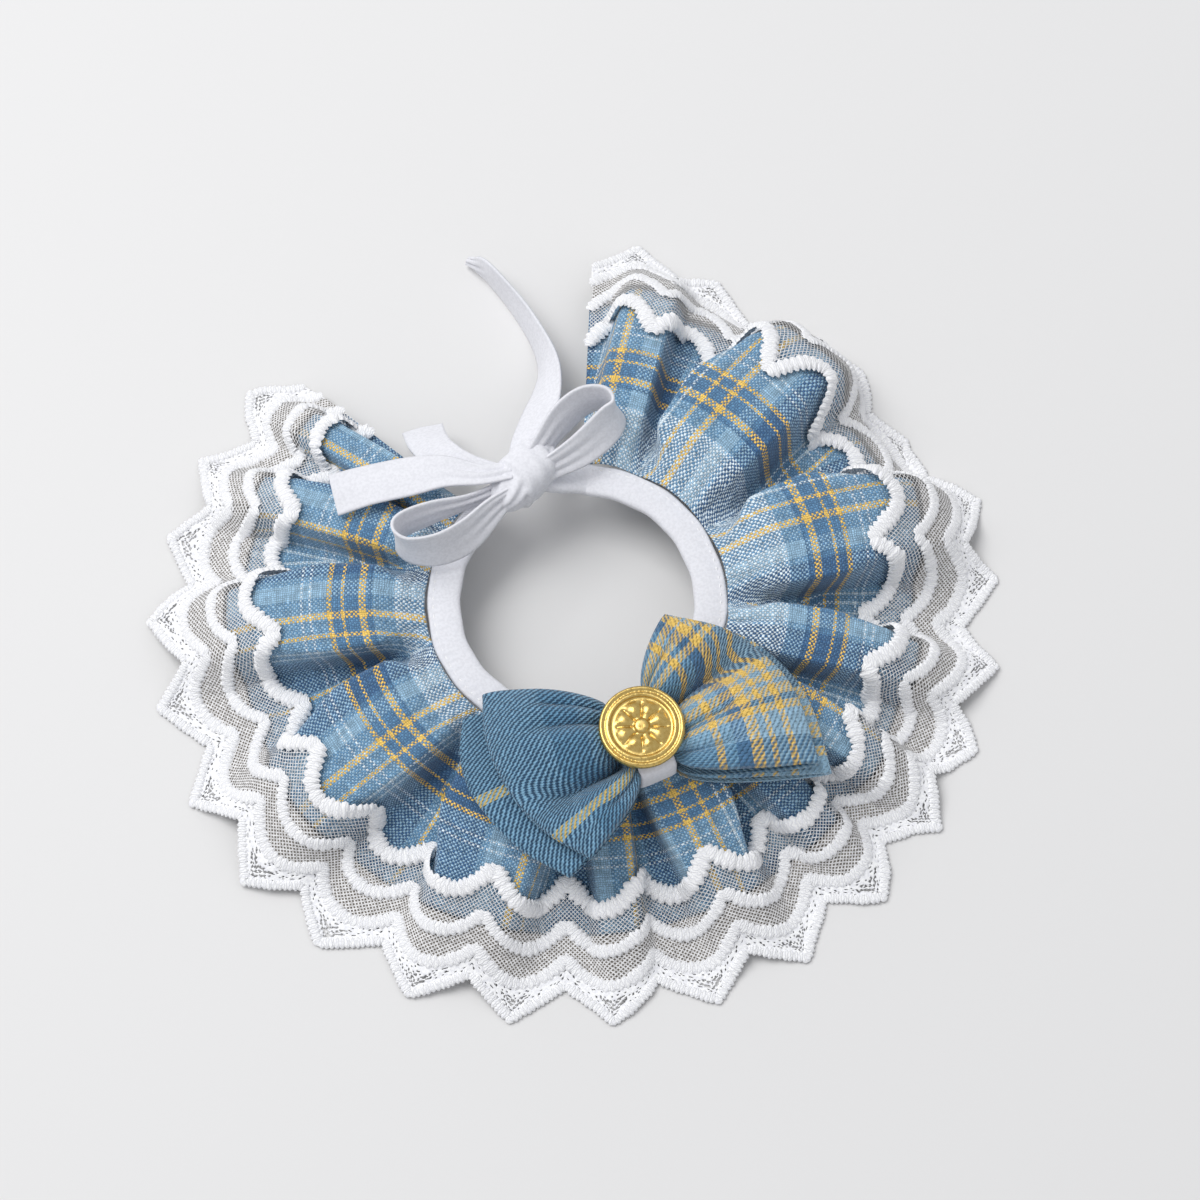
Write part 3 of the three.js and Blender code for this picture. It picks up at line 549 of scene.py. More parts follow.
P, D = np.meshgrid(ruffle_pleats, ruffle_rows)
ruffle_points = cloth_point(P, D)
held_flat = 3                    # mm of cloth that the seam holds flat
gathers = smooth(D / held_flat) * sum(creases(P, D, *row) for row in CREASES)
ruffle_points = ruffle_points + cloth_normal(P, D) * gathers[..., None]
ruffle_points[..., 2] = np.maximum(ruffle_points[..., 2], LOWEST_MIDDLE)
print(f"gathers: {gathers.min():.1f} to {gathers.max():.1f} mm")

# %% Ruffle cloth coordinates
step_mm = np.linalg.norm(np.diff(ruffle_points, axis=1), axis=-1)
cloth_mm = np.concatenate([np.zeros((len(ruffle_rows), 1)), np.cumsum(step_mm, axis=1)], 1)
# The strip was cut a little askew, so the weft stripes lie this far from the seam, pleat by pleat.
WEFT_DRIFT = np.interp(ruffle_pleats, [0, 3, 5, 8, 11, 13], [9, 9, 5, 0, 0, 0])
ruffle_uv = []
for k in range(len(PLEATS)):
    columns = slice(k * PLEAT_COLUMNS, (k + 1) * PLEAT_COLUMNS + 1)
    middle = cloth_mm[:, [k * PLEAT_COLUMNS + PLEAT_COLUMNS // 2]]
    corners = corner_uv(cloth_mm[:, columns] - middle - PLAID_SHIFTS[k],
                        ruffle_rows[:, None] + WEFT_DRIFT[None, columns])
    ruffle_uv.append(corners.reshape(len(ruffle_rows) - 1, -1, 2))
ruffle_uv = np.concatenate(ruffle_uv, axis=1).reshape(-1, 2)

# %% Ruffle piece
ruffle = piece("ruffle_cloth", ruffle_points, grid_faces(*P.shape), ruffle_cotton,
               "plaid_ruffle", ruffle_uv)
thicken(ruffle, RUFFLE_WALL)

# %% [markdown]
# ## Lace
#
# The frill is embroidered net: a machine net, a thick satin-stitch cord in scallops where it is sewn
# over the ruffle, a finer cord below it, and a worked band that ends in points. Four lines across the
# cloth describe all of it. Each line lies at a distance from the seam at its cusps and swings out in
# the middle of each scallop; the points of the edge are straight.

# %% Lines of the lace
LACE_LINES = {
    # name: (distance at the cusps, swing)
    "cord": (42, 11),
    "fine": (56, 10),
    "band": (66, 10),
    "edge": (78, 12),
}
LACE_ROUNDNESS = 0.75            # below 1 a scallop is fuller than a sine
LACE_LIFT, LACE_HALF = 1.3, 0.5  # of the lace's middle off the ruffle, and off the table
SETTLES_AT, SETTLES_OVER = 64, 12   # where it comes down from the ruffle, and over what length
LACE_LOWEST = 0.35


def lace_line(name, cloth_mm):
    """How far from the seam a line of the lace runs, at a place along the cloth."""
    cusp, swing = LACE_LINES[name]
    share = (cloth_mm / REPEAT_MM) % 1
    straight = 1 - np.abs(2 * share - 1)
    rounded = np.sin(np.pi * share) ** LACE_ROUNDNESS
    return cusp + swing * (straight if name == "edge" else rounded)


def lace_surface(cloth_mm, d, above=0.0):
    """Points of the lace, raised above its middle, and the directions out of it."""
    pleat = pleat_at(cloth_mm)
    normal = cloth_normal(pleat, d)
    lift = LACE_LIFT * (1 - smooth((d - SETTLES_AT) / SETTLES_OVER)) + LACE_HALF + above
    points = cloth_point(pleat, d) + normal * np.asarray(lift)[..., None]
    points[..., 2] = np.maximum(points[..., 2], LACE_LOWEST + np.maximum(above, 0))
    return points, normal


# %% [markdown]
# Embroidery cotton is mercerised: it is bleached and drawn tight, so it is a bright cool white with a
# faint gloss. The teeth of a cord's edge are in the mesh, and the material adds its single stitches as
# ridges across the cord. Real ones are 0.3 mm wide; they are drawn 0.75 mm wide so that they show.
# Net and tape get a plain grain, as coarse as their yarn looks.

# %% Embroidery cotton
def grained_cotton_and_shade(name, grain_mm, depth_mm, tint, light="#ffffff"):
    """Yarn between two tones, with a grain of the given size: near whites for bleached cotton, and dark
    taupe for the painted shade under the net.
    """
    material, tree, shader = start_material(name, Roughness=0.75, Sheen_Weight=0.2)
    place = add(tree, "TexCoord")
    grain = add(tree, "TexNoise", {"Vector": place.outputs["Object"], "Scale": 1000 / grain_mm,
                                   "Detail": 2})
    tone = mixed(tree, ranged(tree, grain, 0.38, 0.6), tint, light)
    finish_material(tree, shader, tone, grain, depth_mm=depth_mm)
    return material


def stitched_cotton(name, stitch_mm):
    """Satin stitch: threads side by side across the cord, each bent by up to a stitch or so."""
    material, tree, shader = start_material(name, Roughness=0.7, Sheen_Weight=0.2)
    place = add(tree, "UVMap", uv_map="cloth_mm")
    uneven = add(tree, "TexNoise", {"Vector": place, "Scale": 0.9, "Detail": 2})
    sides = add(tree, "SeparateXYZ", {0: place})
    bent = calculate(tree, "MULTIPLY_ADD", uneven, 2.2 * stitch_mm, sides.outputs[1])
    wave = calculate(tree, "SINE", calculate(tree, "MULTIPLY", bent, 2 * np.pi / stitch_mm))
    # The grooves between the stitch ridges are painted a little darker, as painted shade.
    tone = mixed(tree, ranged(tree, wave, -1, 0.2), "#f0f0f5", "#ffffff")
    finish_material(tree, shader, tone, wave, depth_mm=0.07)
    return material


satin_stitch = stitched_cotton("satin_stitch", stitch_mm=0.75)
embroidery_cotton = grained_cotton_and_shade("embroidery_cotton", grain_mm=1.0, depth_mm=0.2, tint="#f0f0f4")
net_cotton = grained_cotton_and_shade("net_cotton", grain_mm=0.9, depth_mm=0.05, tint="#c9c7c6", light="#f1f0f0")
# Dark taupe for the strips under the net: painted shade, not a thread colour.
painted_net_shade = grained_cotton_and_shade("painted_net_shade", grain_mm=0.9, depth_mm=0.05, tint="#5f584f", light="#7d756a")

# %% [markdown]
# A net of real threads lets the plaid and the table show through, which a picture of holes can't do
# from every side. White threads cross on two slants, each stretch between two crossings one flat strip.
# Past the ruffle's hem a dark taupe strip runs through the middle of every mesh, a little below. It is
# painted shade, the shade that falls under the net, and makes the net look darker than the embroidery.
# The real meshes are about 1.3 mm wide, as here.
# Over the plaid the white threads are drawn thinner, so that it shows through as much as it does there.

# %% Net
NET_PITCH = 1.35
# The last width, and the drop below it, are for the dark strips of painted shade under the net.
NET_THREAD, NET_OVER_CLOTH, SHADE_STRIP_WIDTH = 0.4, 0.22, 0.7
SHADE_STRIP_BELOW = 0.12
NET_FROM, NET_TO = 42, 84        # mm from the seam, wide enough for every scallop
NET_TUCK = 1                     # how far it runs in under the worked band

mesh_half = NET_PITCH / 2
knots = np.meshgrid(np.arange(int(CLOTH_LENGTH / mesh_half)),
                    np.arange(int(NET_FROM / mesh_half), int(NET_TO / mesh_half)), indexing="ij")


def net_strips(slant):
    """Flat strips along the net's threads of one slant, one to each side of a mesh."""
    even = (knots[0] + knots[1]) % 2 == 0
    x0, d0 = knots[0][even] * mesh_half, knots[1][even] * mesh_half
    x1, d1 = x0 + mesh_half, d0 + slant * mesh_half
    inside = (d0 > lace_line("cord", x0)) & (d1 > lace_line("cord", x1))
    inside &= (d0 < lace_line("band", x0) + NET_TUCK) & (d1 < lace_line("band", x1) + NET_TUCK)
    x0, x1, d0, d1 = x0[inside], x1[inside], d0[inside], d1[inside]
    step = np.where(d0 < RUFFLE_LENGTH, NET_OVER_CLOTH, NET_THREAD) / 2 / np.sqrt(2)
    corners = [(x0 - step * slant, d0 + step), (x0 + step * slant, d0 - step),
               (x1 + step * slant, d1 - step), (x1 - step * slant, d1 + step)]
    return np.stack([lace_surface(x, d)[0] for x, d in corners], 1)


def shade_strips_under_net():
    """One short flat dark strip through the middle of every mesh, along the collar: painted shade under
    the net.
    """
    odd = (knots[0] + knots[1]) % 2 == 1
    x, d = knots[0][odd] * mesh_half, knots[1][odd] * mesh_half
    inside = (d > RUFFLE_LENGTH) & (d < lace_line("band", x) + NET_TUCK)
    x, d = x[inside], d[inside]
    corners = [(a * mesh_half, b * SHADE_STRIP_WIDTH / 2) for a, b in ((-1, -1), (1, -1), (1, 1), (-1, 1))]
    return np.stack([lace_surface(x + cx, d + cd, -SHADE_STRIP_BELOW)[0] for cx, cd in corners], 1)


def net_piece(name, strips, material):
    faces = np.arange(len(strips) * 4).reshape(-1, 4)
    return piece(name, strips, faces, material)


net = net_piece("lace_net", np.concatenate([net_strips(1), net_strips(-1)]), net_cotton)
# The dark strips under the net are painted shade.
net_shade_strips = net_piece("net_shade_strips", shade_strips_under_net(), painted_net_shade)
print(f"net: {len(net.data.polygons) + len(net_shade_strips.data.polygons)} strips of thread")

# %% [markdown]
# Satin stitch is thread laid side by side across a cord. The cord is swept over the lace, one scallop
# at a time, and its bundles of stitches come as teeth of uneven width and height along both edges.
# Points at even lengths of cord keep the teeth alike on steep and on flat ground.


# %% Satin cords
CORDS = {
    # name: (line, shift from it, half width, height, length of a tooth, seed, solid it is shown for)
    "scallop_cord": ("cord", 0, 3.2, 1.4, 2.1, 11, "lace_frill"),
    "fine_cord": ("fine", 0, 2.4, 0.9, 1.9, 12, None),
    "band_cord": ("band", 1.2, 2.3, 0.7, 2.0, 13, None),
    "edge_cord": ("edge", -1.2, 1.8, 0.8, 1.5, 14, None),
}
CORD_PROFILE = np.linspace(-1, 1, 9)
POINTS_PER_TOOTH = 8
MOST_TEETH = 400                 # in one scallop
SCALLOP_SHARES = np.linspace(0.004, 0.996, 150)   # each scallop's cord stops just short of the next
CORD_SEAT = 0.1                  # how far a cord's edges stand off the net
CORD_LOWEST = 0.05               # above the table


def tooth_shape(tooth):
    """Width of the cord along its teeth: a deep notch between two teeth, and a fine ripple."""
    return 1 - 0.34 * np.abs(2 * (tooth % 1) - 1) ** 1.5 - 0.08 * np.abs(np.sin(3.3 * np.pi * tooth))


def satin_cord(name):
    """A stitched cord along one line of the lace, scallop by scallop."""
    line, shift, half_width, relief, tooth_mm, seed, shown_for = CORDS[name]
    pick = np.random.default_rng(seed)
    points, faces, corners = [], [], []
    for scallop in range(LACE_REPEATS):
        x = (scallop + SCALLOP_SHARES) * REPEAT_MM
        middle, normal = lace_surface(x, lace_line(line, x) + shift)
        length = along(middle)
        even = np.linspace(0, length[-1], int(length[-1] / tooth_mm * POINTS_PER_TOOTH))
        x = np.interp(even, length, x)
        middle, normal = lace_surface(x, lace_line(line, x) + shift)
        ahead = unit(np.gradient(middle, axis=0))
        side = unit(np.cross(normal, ahead))
        teeth = tooth_shape(even / tooth_mm)
        size = np.interp(even / tooth_mm, np.arange(MOST_TEETH), pick.uniform(0.84, 1.14, MOST_TEETH))
        ends = np.sqrt(np.clip(np.minimum(even, length[-1] - even) / half_width + 0.2, 0, 1))
        across = (half_width * teeth * size * ends)[:, None] * CORD_PROFILE
        height = (relief * (0.7 + 0.3 * teeth) * size * ends)[:, None]
        height = height * np.sqrt(1 - np.abs(CORD_PROFILE) ** 3) + CORD_SEAT
        ring = swept(middle, side, normal, across, height)
        ring[..., 2] = np.maximum(ring[..., 2], CORD_LOWEST)
        faces.append(grid_faces(*across.shape, start=sum(len(p) for p in points)))
        points.append(ring.reshape(-1, 3))
        corners.append(corner_uv(across, np.broadcast_to(even[:, None], across.shape)))
    points, faces, corners = [np.concatenate(parts) for parts in (points, faces, corners)]
    return piece(name, points, faces, satin_stitch, shown_for, corners)


cords = [satin_cord(name) for name in CORDS]

# %% [markdown]
# The worked band between the last cord and the points is dense stitching with rows of small eyelets
# and an open window in every point. It is a fine grid whose cells are left out where there is a hole.

# %% Worked band
BAND_CELL, BAND_ROWS = 0.5, 27
BAND_WALL = 0.35
EDGE_INSET = 0.6
EYELET_MARGIN = 2.7              # no eyelets closer than this to either edge
EYELET_FROM = 0.72               # of the waves' height; more makes the eyelets smaller
WINDOW_HALF, WINDOW_DEPTH, WINDOW_FROM_EDGE = 5.2, 2.6, 5.4
LATTICE_PITCH, LATTICE_HOLE = 1.7, 1.1


def worked_band():
    columns = int(CLOTH_LENGTH / BAND_CELL)
    x = np.linspace(0, CLOTH_LENGTH, columns + 1)[None, :].repeat(BAND_ROWS + 1, 0)
    share = np.linspace(0, 1, BAND_ROWS + 1)[:, None]
    first, last = lace_line("band", x), lace_line("edge", x) - EDGE_INSET
    d = first + (last - first) * share
    xc = (x[:-1, :-1] + x[1:, 1:]) / 2
    dc = (d[:-1, :-1] + d[1:, 1:]) / 2
    to_edge = lace_line("edge", xc) - dc
    margin = np.minimum(to_edge, dc - lace_line("band", xc))
    # Two waves that bend each other never meet at even steps, so the eyelets look stitched by hand.
    uneven = np.sin(2.3 * xc + 1.3 * np.sin(1.7 * dc)) * np.sin(2.9 * dc + 1.4 * np.sin(1.1 * xc))
    eyelets = (uneven > EYELET_FROM) & (margin > EYELET_MARGIN)
    aside = np.abs(xc % REPEAT_MM - REPEAT_MM / 2)
    window = aside / WINDOW_HALF + np.abs(to_edge - WINDOW_FROM_EDGE) / WINDOW_DEPTH < 1
    for slant in (xc + dc, xc - dc):
        window &= np.abs(slant % LATTICE_PITCH - LATTICE_PITCH / 2) < LATTICE_HOLE / 2
    faces = grid_faces(BAND_ROWS + 1, columns + 1)[~(eyelets | window).ravel()]
    return lace_surface(x, d)[0], faces


band_points, band_faces = worked_band()
band = piece("worked_band", band_points, band_faces, embroidery_cotton)
thicken(band, BAND_WALL)

# %% [markdown]
# ## Neck tape
#
# White cotton tape is folded over the gathered edge and topstitched. It is swept round the neck as one
# closed section with rounded edges and a slight pucker at each stitch, and then climbs into the knot.

# %% Paths and sweeps
def smooth_path(stations, count):
    """Evenly numbered places on a curve through the stations, all their columns together."""
    stations = np.asarray(stations, float)
    ends = np.vstack([2 * stations[0] - stations[1], stations, 2 * stations[-1] - stations[-2]])
    t = np.linspace(0, len(stations) - 1, count)
    i = np.minimum(t.astype(int), len(stations) - 2)
    f = (t - i)[:, None]
    a, b, c, d = ends[i], ends[i + 1], ends[i + 2], ends[i + 3]
    curve = 2 * b + (c - a) * f + (2 * a - 5 * b + 4 * c - d) * f ** 2 + (3 * b - a - 3 * c + d) * f ** 3
    return curve / 2


def squared(angle, sharpness):
    """A cosine and a sine drawn towards a square as the sharpness falls below 1."""
    return [np.sign(c) * np.abs(c) ** sharpness for c in (np.cos(angle), np.sin(angle))]


def capped(rows, columns):
    """Faces of a swept closed section, with both ends closed."""
    sides = grid_faces(rows, columns, round_columns=True).tolist()
    last = (rows - 1) * columns
    return sides + [list(range(columns - 1, -1, -1)), [last + j for j in range(columns)]]


# %% Tape
TAPE_WIDTH, TAPE_THICKNESS = 10, 3.4
TAPE_ROWS, TAPE_SIDES = 700, 28  # of the mesh, along the tape and around it
TAPE_STITCH = 2.6
STITCH_SIDE = 0.62               # place of the topstitch, from 0 in the middle to 1 at the outer edge
PUCKER_MM, DIP_MM, WANDER_MM = 0.25, 0.55, 0.25
tape_cotton = grained_cotton_and_shade("cotton_tape", grain_mm=0.9, depth_mm=0.05, tint="#e2e2e7", light="#eaeaef")

ring_bearing = np.radians(np.linspace(STARTS[0], LAST_BEARING, 60))
ring_radius = NECK_RADIUS - TAPE_WIDTH / 2
# Stations as x, y, z and the tape's width there; it narrows where it goes into the knot.
tape_stations = [(-3, 40, 24, 6), (-9, 39, 22.5, 7)]
for bearing in ring_bearing:
    on_ring = (ring_radius * np.sin(bearing), -ring_radius * np.cos(bearing), NECK_HEIGHT)
    tape_stations.append((*on_ring, TAPE_WIDTH))
tape_stations += [(8, 38, 22, 8), (2, 39.5, 24, 6)]
tape_path = smooth_path(tape_stations, TAPE_ROWS)
tape_line, tape_width = tape_path[:, :3], tape_path[:, [3]]
ahead = unit(np.gradient(tape_line, axis=0))
outward = unit(np.cross(ahead, [0, 0, 1]))
upward = np.cross(outward, ahead)
tape_mm = along(tape_line)
print(f"neck tape: {tape_mm[-1]:.0f} mm")

# %% Tape section
section = around(TAPE_SIDES)
across, above = squared(section, 0.45)[0], squared(section, 0.75)[1]
at_seam = np.exp(-((across - STITCH_SIDE) / 0.14) ** 2)
pucker = PUCKER_MM * np.abs(np.sin(np.pi * tape_mm / TAPE_STITCH))[:, None]
height = TAPE_THICKNESS / 2 * above - np.sign(above) * at_seam * (DIP_MM - pucker)
wander = WANDER_MM * np.sin(tape_mm / 7) * np.sin(tape_mm / 3.1 + 1)
sideways = tape_width / 2 * across + wander[:, None]
tape_points = swept(tape_line, outward, upward, sideways, height)
tape = piece("neck_tape", tape_points, capped(*height.shape), tape_cotton, "neck_binding")

# %% Topstitch
# One stitch, as shares of its size along, across and up, and that size in mm.
STITCH_SHAPE = np.array([(-1, 0, 0), (0, -0.5, 0.2), (0, 0, 0.75), (0, 0.5, 0.2), (1, 0, 0)])
STITCH_FACES = np.array([(0, 1, 2), (0, 2, 3), (4, 2, 1), (4, 3, 2)])
STITCH_SIZE = (0.95, 0.55, 0.6)
FROM_THE_KNOT = 8                # where the first and the last stitch lie
stitch_at = np.searchsorted(tape_mm, np.arange(FROM_THE_KNOT, tape_mm[-1] - FROM_THE_KNOT, TAPE_STITCH))
stitch_seat = TAPE_THICKNESS / 2 - DIP_MM + 0.1
stitch_points, stitch_faces = [], []
for n, i in enumerate(stitch_at):
    seat = tape_line[i] + outward[i] * tape_width[i] / 2 * STITCH_SIDE + upward[i] * stitch_seat
    stitch_points.append(seat + STITCH_SHAPE * STITCH_SIZE @ np.stack([ahead[i], outward[i], upward[i]]))
    stitch_faces.append(STITCH_FACES + n * len(STITCH_SHAPE))
stitch_faces = np.concatenate(stitch_faces)
piece("topstitch", np.concatenate(stitch_points), stitch_faces, embroidery_cotton)

# %% [markdown]
# ## Ribbon ties
#
# The same tape, pressed flat and folded in half, is tied in a bow. Each visible stretch is its own
# strip. A station gives the strip's middle, its width, and its tilt: level at 0, on its edge at 90.

# %% Ribbons
TIES = {
    # x, y, z, width, tilt
    "tie_loop_right": [
        (3, 42.5, 28.5, 7, 50), (10, 47, 30, 9, 56), (18, 51.5, 31.5, 12, 64), (26.5, 54, 31.8, 13, 76),
        (33, 52, 31.8, 13, 88), (34.5, 47.5, 31.8, 13, 104), (30, 44, 31, 13, 122),
        (20, 40.5, 29.5, 11, 134), (9, 39, 28.8, 8, 128), (3, 39, 28.5, 7, 120)],
    "tie_loop_left": [
        (-5, 36, 28.4, 5, 120), (-12, 33.5, 28.4, 8, 125), (-23, 28.5, 29, 12, 122),
        (-33, 27.5, 30, 13, 112), (-41, 30.5, 31, 13, 98), (-43.5, 35.5, 31.5, 13, 88),
        (-40, 39, 30.5, 12, 80), (-30, 40, 28.5, 10, 75), (-18, 39.5, 27, 6.5, 70),
        (-6, 39.5, 26.5, 6, 65)],
    "tie_tail_left": [
        (-3, 42.5, 30, 7, 18), (-12, 44.5, 31, 8, 14), (-22, 50, 31, 11, 8), (-32, 53, 30, 13, 4),
        (-44, 56, 28.5, 13, 0), (-54.5, 58, 26.5, 13, -6)],
    "tie_tail_long": [
        (0, 42, 25, 7, -10), (6, 51, 21.5, 11, -18), (14, 61, 18, 13, -30), (21, 71, 14, 13, -48),
        (25.5, 82, 9.5, 13, -66), (26.5, 94, 7.0, 13, -78), (25, 106, 6.6, 13, -84),
        (22, 118, 6.6, 13, -86), (20, 124, 3.9, 7, -86), (18.5, 128, 1.7, 2.5, -86)],
    "tie_end_short": [
        (-5, 44, 25, 7, 10), (-14, 52, 24, 9, 5), (-19, 60, 21, 11, 0), (-20, 68, 15, 12.5, 0),
        (-19, 76, 8, 13, 0)],
}
RIBBON_WIDTH, RIBBON_WALL = 13, 0.9
RIBBON_CREASE = 0.5              # how far its pressed middle stands up
RIBBON_ROWS, RIBBON_COLUMNS = 24, 17   # of the mesh: to each station, and across
FULLY_SQUEEZED = 8               # mm of width lost where its pleats are deepest
PLEAT_MM, RIPPLE_MM = 0.9, 0.18  # of the small pleats where it is squeezed, and of its waves elsewhere


def ribbon(node):
    path = smooth_path(TIES[node], RIBBON_ROWS * len(TIES[node]))
    line, width, tilt = path[:, :3], path[:, [3]], np.radians(path[:, [4]])
    ahead = unit(np.gradient(line, axis=0))
    left = unit(np.cross([0, 0, 1], ahead))
    across = left * np.cos(tilt) + np.cross(ahead, left) * np.sin(tilt)
    normal = unit(np.cross(ahead, across))
    place = np.linspace(-1, 1, RIBBON_COLUMNS)
    length = along(line)
    squeeze = np.clip((RIBBON_WIDTH - width) / FULLY_SQUEEZED, 0, 1)
    pleats = PLEAT_MM * squeeze * np.sin(3 * np.pi * place) * (1 - place ** 2)
    ripple = RIPPLE_MM * np.sin(length / 5)[:, None] * np.sin(2.2 * place)
    height = RIBBON_CREASE * (1 - np.abs(place)) + pleats + ripple
    points = swept(line, across, normal, width / 2 * place, height)
    points[..., 2] = np.maximum(points[..., 2], RIBBON_WALL / 2 + 0.02)
    faces = grid_faces(*height.shape)
    made = piece(node.replace("tie_", "ribbon_"), points, faces, tape_cotton, node)
    thicken(made, RIBBON_WALL)
    print(f"{made.name}: {length[-1]:.0f} mm")


for node in TIES:
    ribbon(node)

# %% [markdown]
# The knot is one turn of ribbon pulled tight over the loops. It is a squeezed lump, and folds run
# round it a little askew, deeper in the middle, as they do where a flat ribbon is drawn together.

# %% Knot
# Its middle and size in mm, its turn in degrees, and where the wrapped turn starts and ends along it.
KNOT = {"at": (0.5, 41.2, 25.8), "size": (26, 15, 13.5), "turn": 27, "wrap": (-4, 8)}
KNOT_SQUARENESS = 0.8            # at 1 it is a ball
WRAP_STEP = 0.9                  # length over which the wrapped turn rises
BARE_SHARE, WRAPPED_SHARE = 0.88, 1.05


def knot():
    lon = around(96)[None, :]
    lat = np.radians(np.linspace(-90, 90, 65))[:, None]
    ball = np.stack([np.sin(lat) + 0 * lon, np.cos(lat) * np.cos(lon), np.cos(lat) * np.sin(lon)], -1)
    shape = np.sign(ball) * np.abs(ball) ** KNOT_SQUARENESS * np.array(KNOT["size"]) / 2
    lengthwise = KNOT["size"][0] / 2 * ball[..., 0]
    # Both edges of the wrapped turn run askew round the knot.
    first_edge = KNOT["wrap"][0] + 2.2 * np.cos(lon - 1)
    last_edge = KNOT["wrap"][1] + 1.6 * np.cos(lon - 1)
    wrap = smooth((lengthwise - first_edge) / WRAP_STEP) * smooth((last_edge - lengthwise) / WRAP_STEP)
    bare = BARE_SHARE + 0.05 * np.sin(9 * lon + 0.6 * lengthwise)
    wrapped = WRAPPED_SHARE + 0.025 * np.sin(1.5 * (lengthwise - first_edge))
    shape[..., 1:] *= (wrap * wrapped + (1 - wrap) * bare)[..., None]
    turn = radians(KNOT["turn"])
    spin = np.array([[np.cos(turn), -np.sin(turn), 0], [np.sin(turn), np.cos(turn), 0], [0, 0, 1]])
    return shape @ spin.T + np.array(KNOT["at"])


knot_points = knot()
knot_faces = grid_faces(*knot_points.shape[:2], round_columns=True)
piece("ribbon_knot", knot_points, knot_faces, tape_cotton, "tie_knot")

# %% [markdown]
# ## Twill for the bow
#
# The bow's cloth has the ruffle's colours in a twill weave, whose threads step sideways in every row
# and so make slanting ribs. The ribs are about 0.8 mm apart on the real cloth and are drawn 1.2 mm
# apart so that they show. The warp threads that cross them break each rib into short stitches, and a
# noise bends them, because yarn is never quite even.

# %% Twill
RIB_MM = 1.2
RIB_WAY = (0.75, 0.66, 0)        # a unit vector across the ribs, in cloth coordinates
TWILL_BLUE, TWILL_MID, TWILL_SOFT = "#214766", "#3d698c", "#6494b3"
TWILL_LIGHT, TWILL_PALE, TWILL_GOLD = "#79a5c1", "#8aabbe", "#c7ae62"
# Stripes as for the ruffle: (where each one starts in mm, its colour), and the repeat.
BLUE_WARP = ([(0, TWILL_BLUE), (28, TWILL_GOLD), (31, TWILL_BLUE)], 90)
BLUE_WEFT = ([(0, TWILL_LIGHT), (12, TWILL_SOFT), (22, TWILL_LIGHT), (86, YELLOW),
              (91, TWILL_LIGHT)], 150)
# The dark blue warp stripe from 13 to 28 mm is the cloth's own, but on the front right loop it is set in
# the deep furrow, where its darkness also stands in as painted shade.
GOLD_WARP = ([(0, YELLOW), (2.5, SKY), (3.5, YELLOW), (7, TWILL_MID), (8.5, YELLOW), (11, TWILL_MID),
              (13, TWILL_BLUE), (28, YELLOW), (32, SKY), (34, YELLOW), (37, SKY), (38.5, YELLOW),
              (42, TWILL_MID), (44, YELLOW), (46, SKY), (52, TWILL_MID)], 60)
GOLD_WEFT = ([(0, TWILL_LIGHT), (13, YELLOW), (15.5, TWILL_LIGHT), (19, NAVY), (23, YELLOW),
              (26.5, TWILL_PALE), (29, YELLOW), (31, TWILL_PALE), (34, YELLOW), (36.5, TWILL_PALE),
              (88, YELLOW), (92, TWILL_LIGHT)], 150)


def twill(name, warp_table, weft_table, blend):
    """Twill of two striped sets of yarn; a greater blend mixes them more softly."""
    material, tree, shader = start_material(name, Roughness=0.75, Sheen_Weight=0.3, Sheen_Roughness=0.4)
    place = add(tree, "UVMap", uv_map="cloth_mm")
    sides = add(tree, "SeparateXYZ", {0: place})
    warp = stripes(tree, sides.outputs[0], warp_table)
    weft = stripes(tree, sides.outputs[1], weft_table)
    slant = add(tree, "VectorMath", {0: place, 1: RIB_WAY}, operation="DOT_PRODUCT")
    ribs = calculate(tree, "MULTIPLY", slant.outputs["Value"], 2 * np.pi / RIB_MM)
    slubs = add(tree, "TexNoise", {"Vector": place, "Scale": 0.8, "Detail": 3})
    rib_wave = calculate(tree, "SINE", calculate(tree, "MULTIPLY_ADD", slubs, 4.0, ribs))
    threads = calculate(tree, "MULTIPLY", sides.outputs[0], 2 * np.pi / THREAD_MM)
    thread_wave = calculate(tree, "SINE", threads)
    wave = calculate(tree, "MULTIPLY_ADD", thread_wave, 0.45, rib_wave)
    weave = mixed(tree, ranged(tree, wave, -blend, blend), weft, warp)
    shade = scaled(tree, weave, slubs, 0.84, 1.3)
    finish_material(tree, shader, shade, wave, depth_mm=0.18)
    return material


bow_twill_blue = twill("bow_twill_blue", BLUE_WARP, BLUE_WEFT, blend=0.6)
bow_twill_gold = twill("bow_twill_gold", GOLD_WARP, GOLD_WEFT, blend=1.3)

# %% [markdown]
# ## Bow
#
# Each loop is a strip folded back on itself and drawn together at the waist. One formula gives it: s
# runs along the strip from the waist to the fold and back, v runs across from the neck side to the
# hem side. Furrows start at the waist and run out.

# %% Shapes of the loops
BOW_WAIST_HALF, BOW_BAND_WIDTH = 11, 11
BACK_WAIST, FRONT_WAIST = (22.1, 25.1), (25.4, 32.4)     # heights of both layers at the waist
BOW_LOOPS = {
    # name: (waist, heights of both layers at the fold, fold from neck side to hem side)
    "bow_back_left": (BACK_WAIST, (24.6, 29),
                      [(-46.5, -24), (-52, -35), (-53, -48), (-47.5, -66), (-37.5, -80.5)]),
    "bow_back_right": (BACK_WAIST, (24, 28.4),
                       [(24, -24), (38, -33), (45.5, -47), (47.5, -62), (44, -82.5)]),
    "bow_front_left": (FRONT_WAIST, (29.4, 35),
                       [(-39, -21.5), (-43.5, -34), (-44, -49), (-40, -65), (-30.5, -79.5)]),
    "bow_front_right": (FRONT_WAIST, (28.8, 34.4),
                        [(19.5, -20), (33.5, -31), (41, -44), (44, -58), (41, -80)]),
}
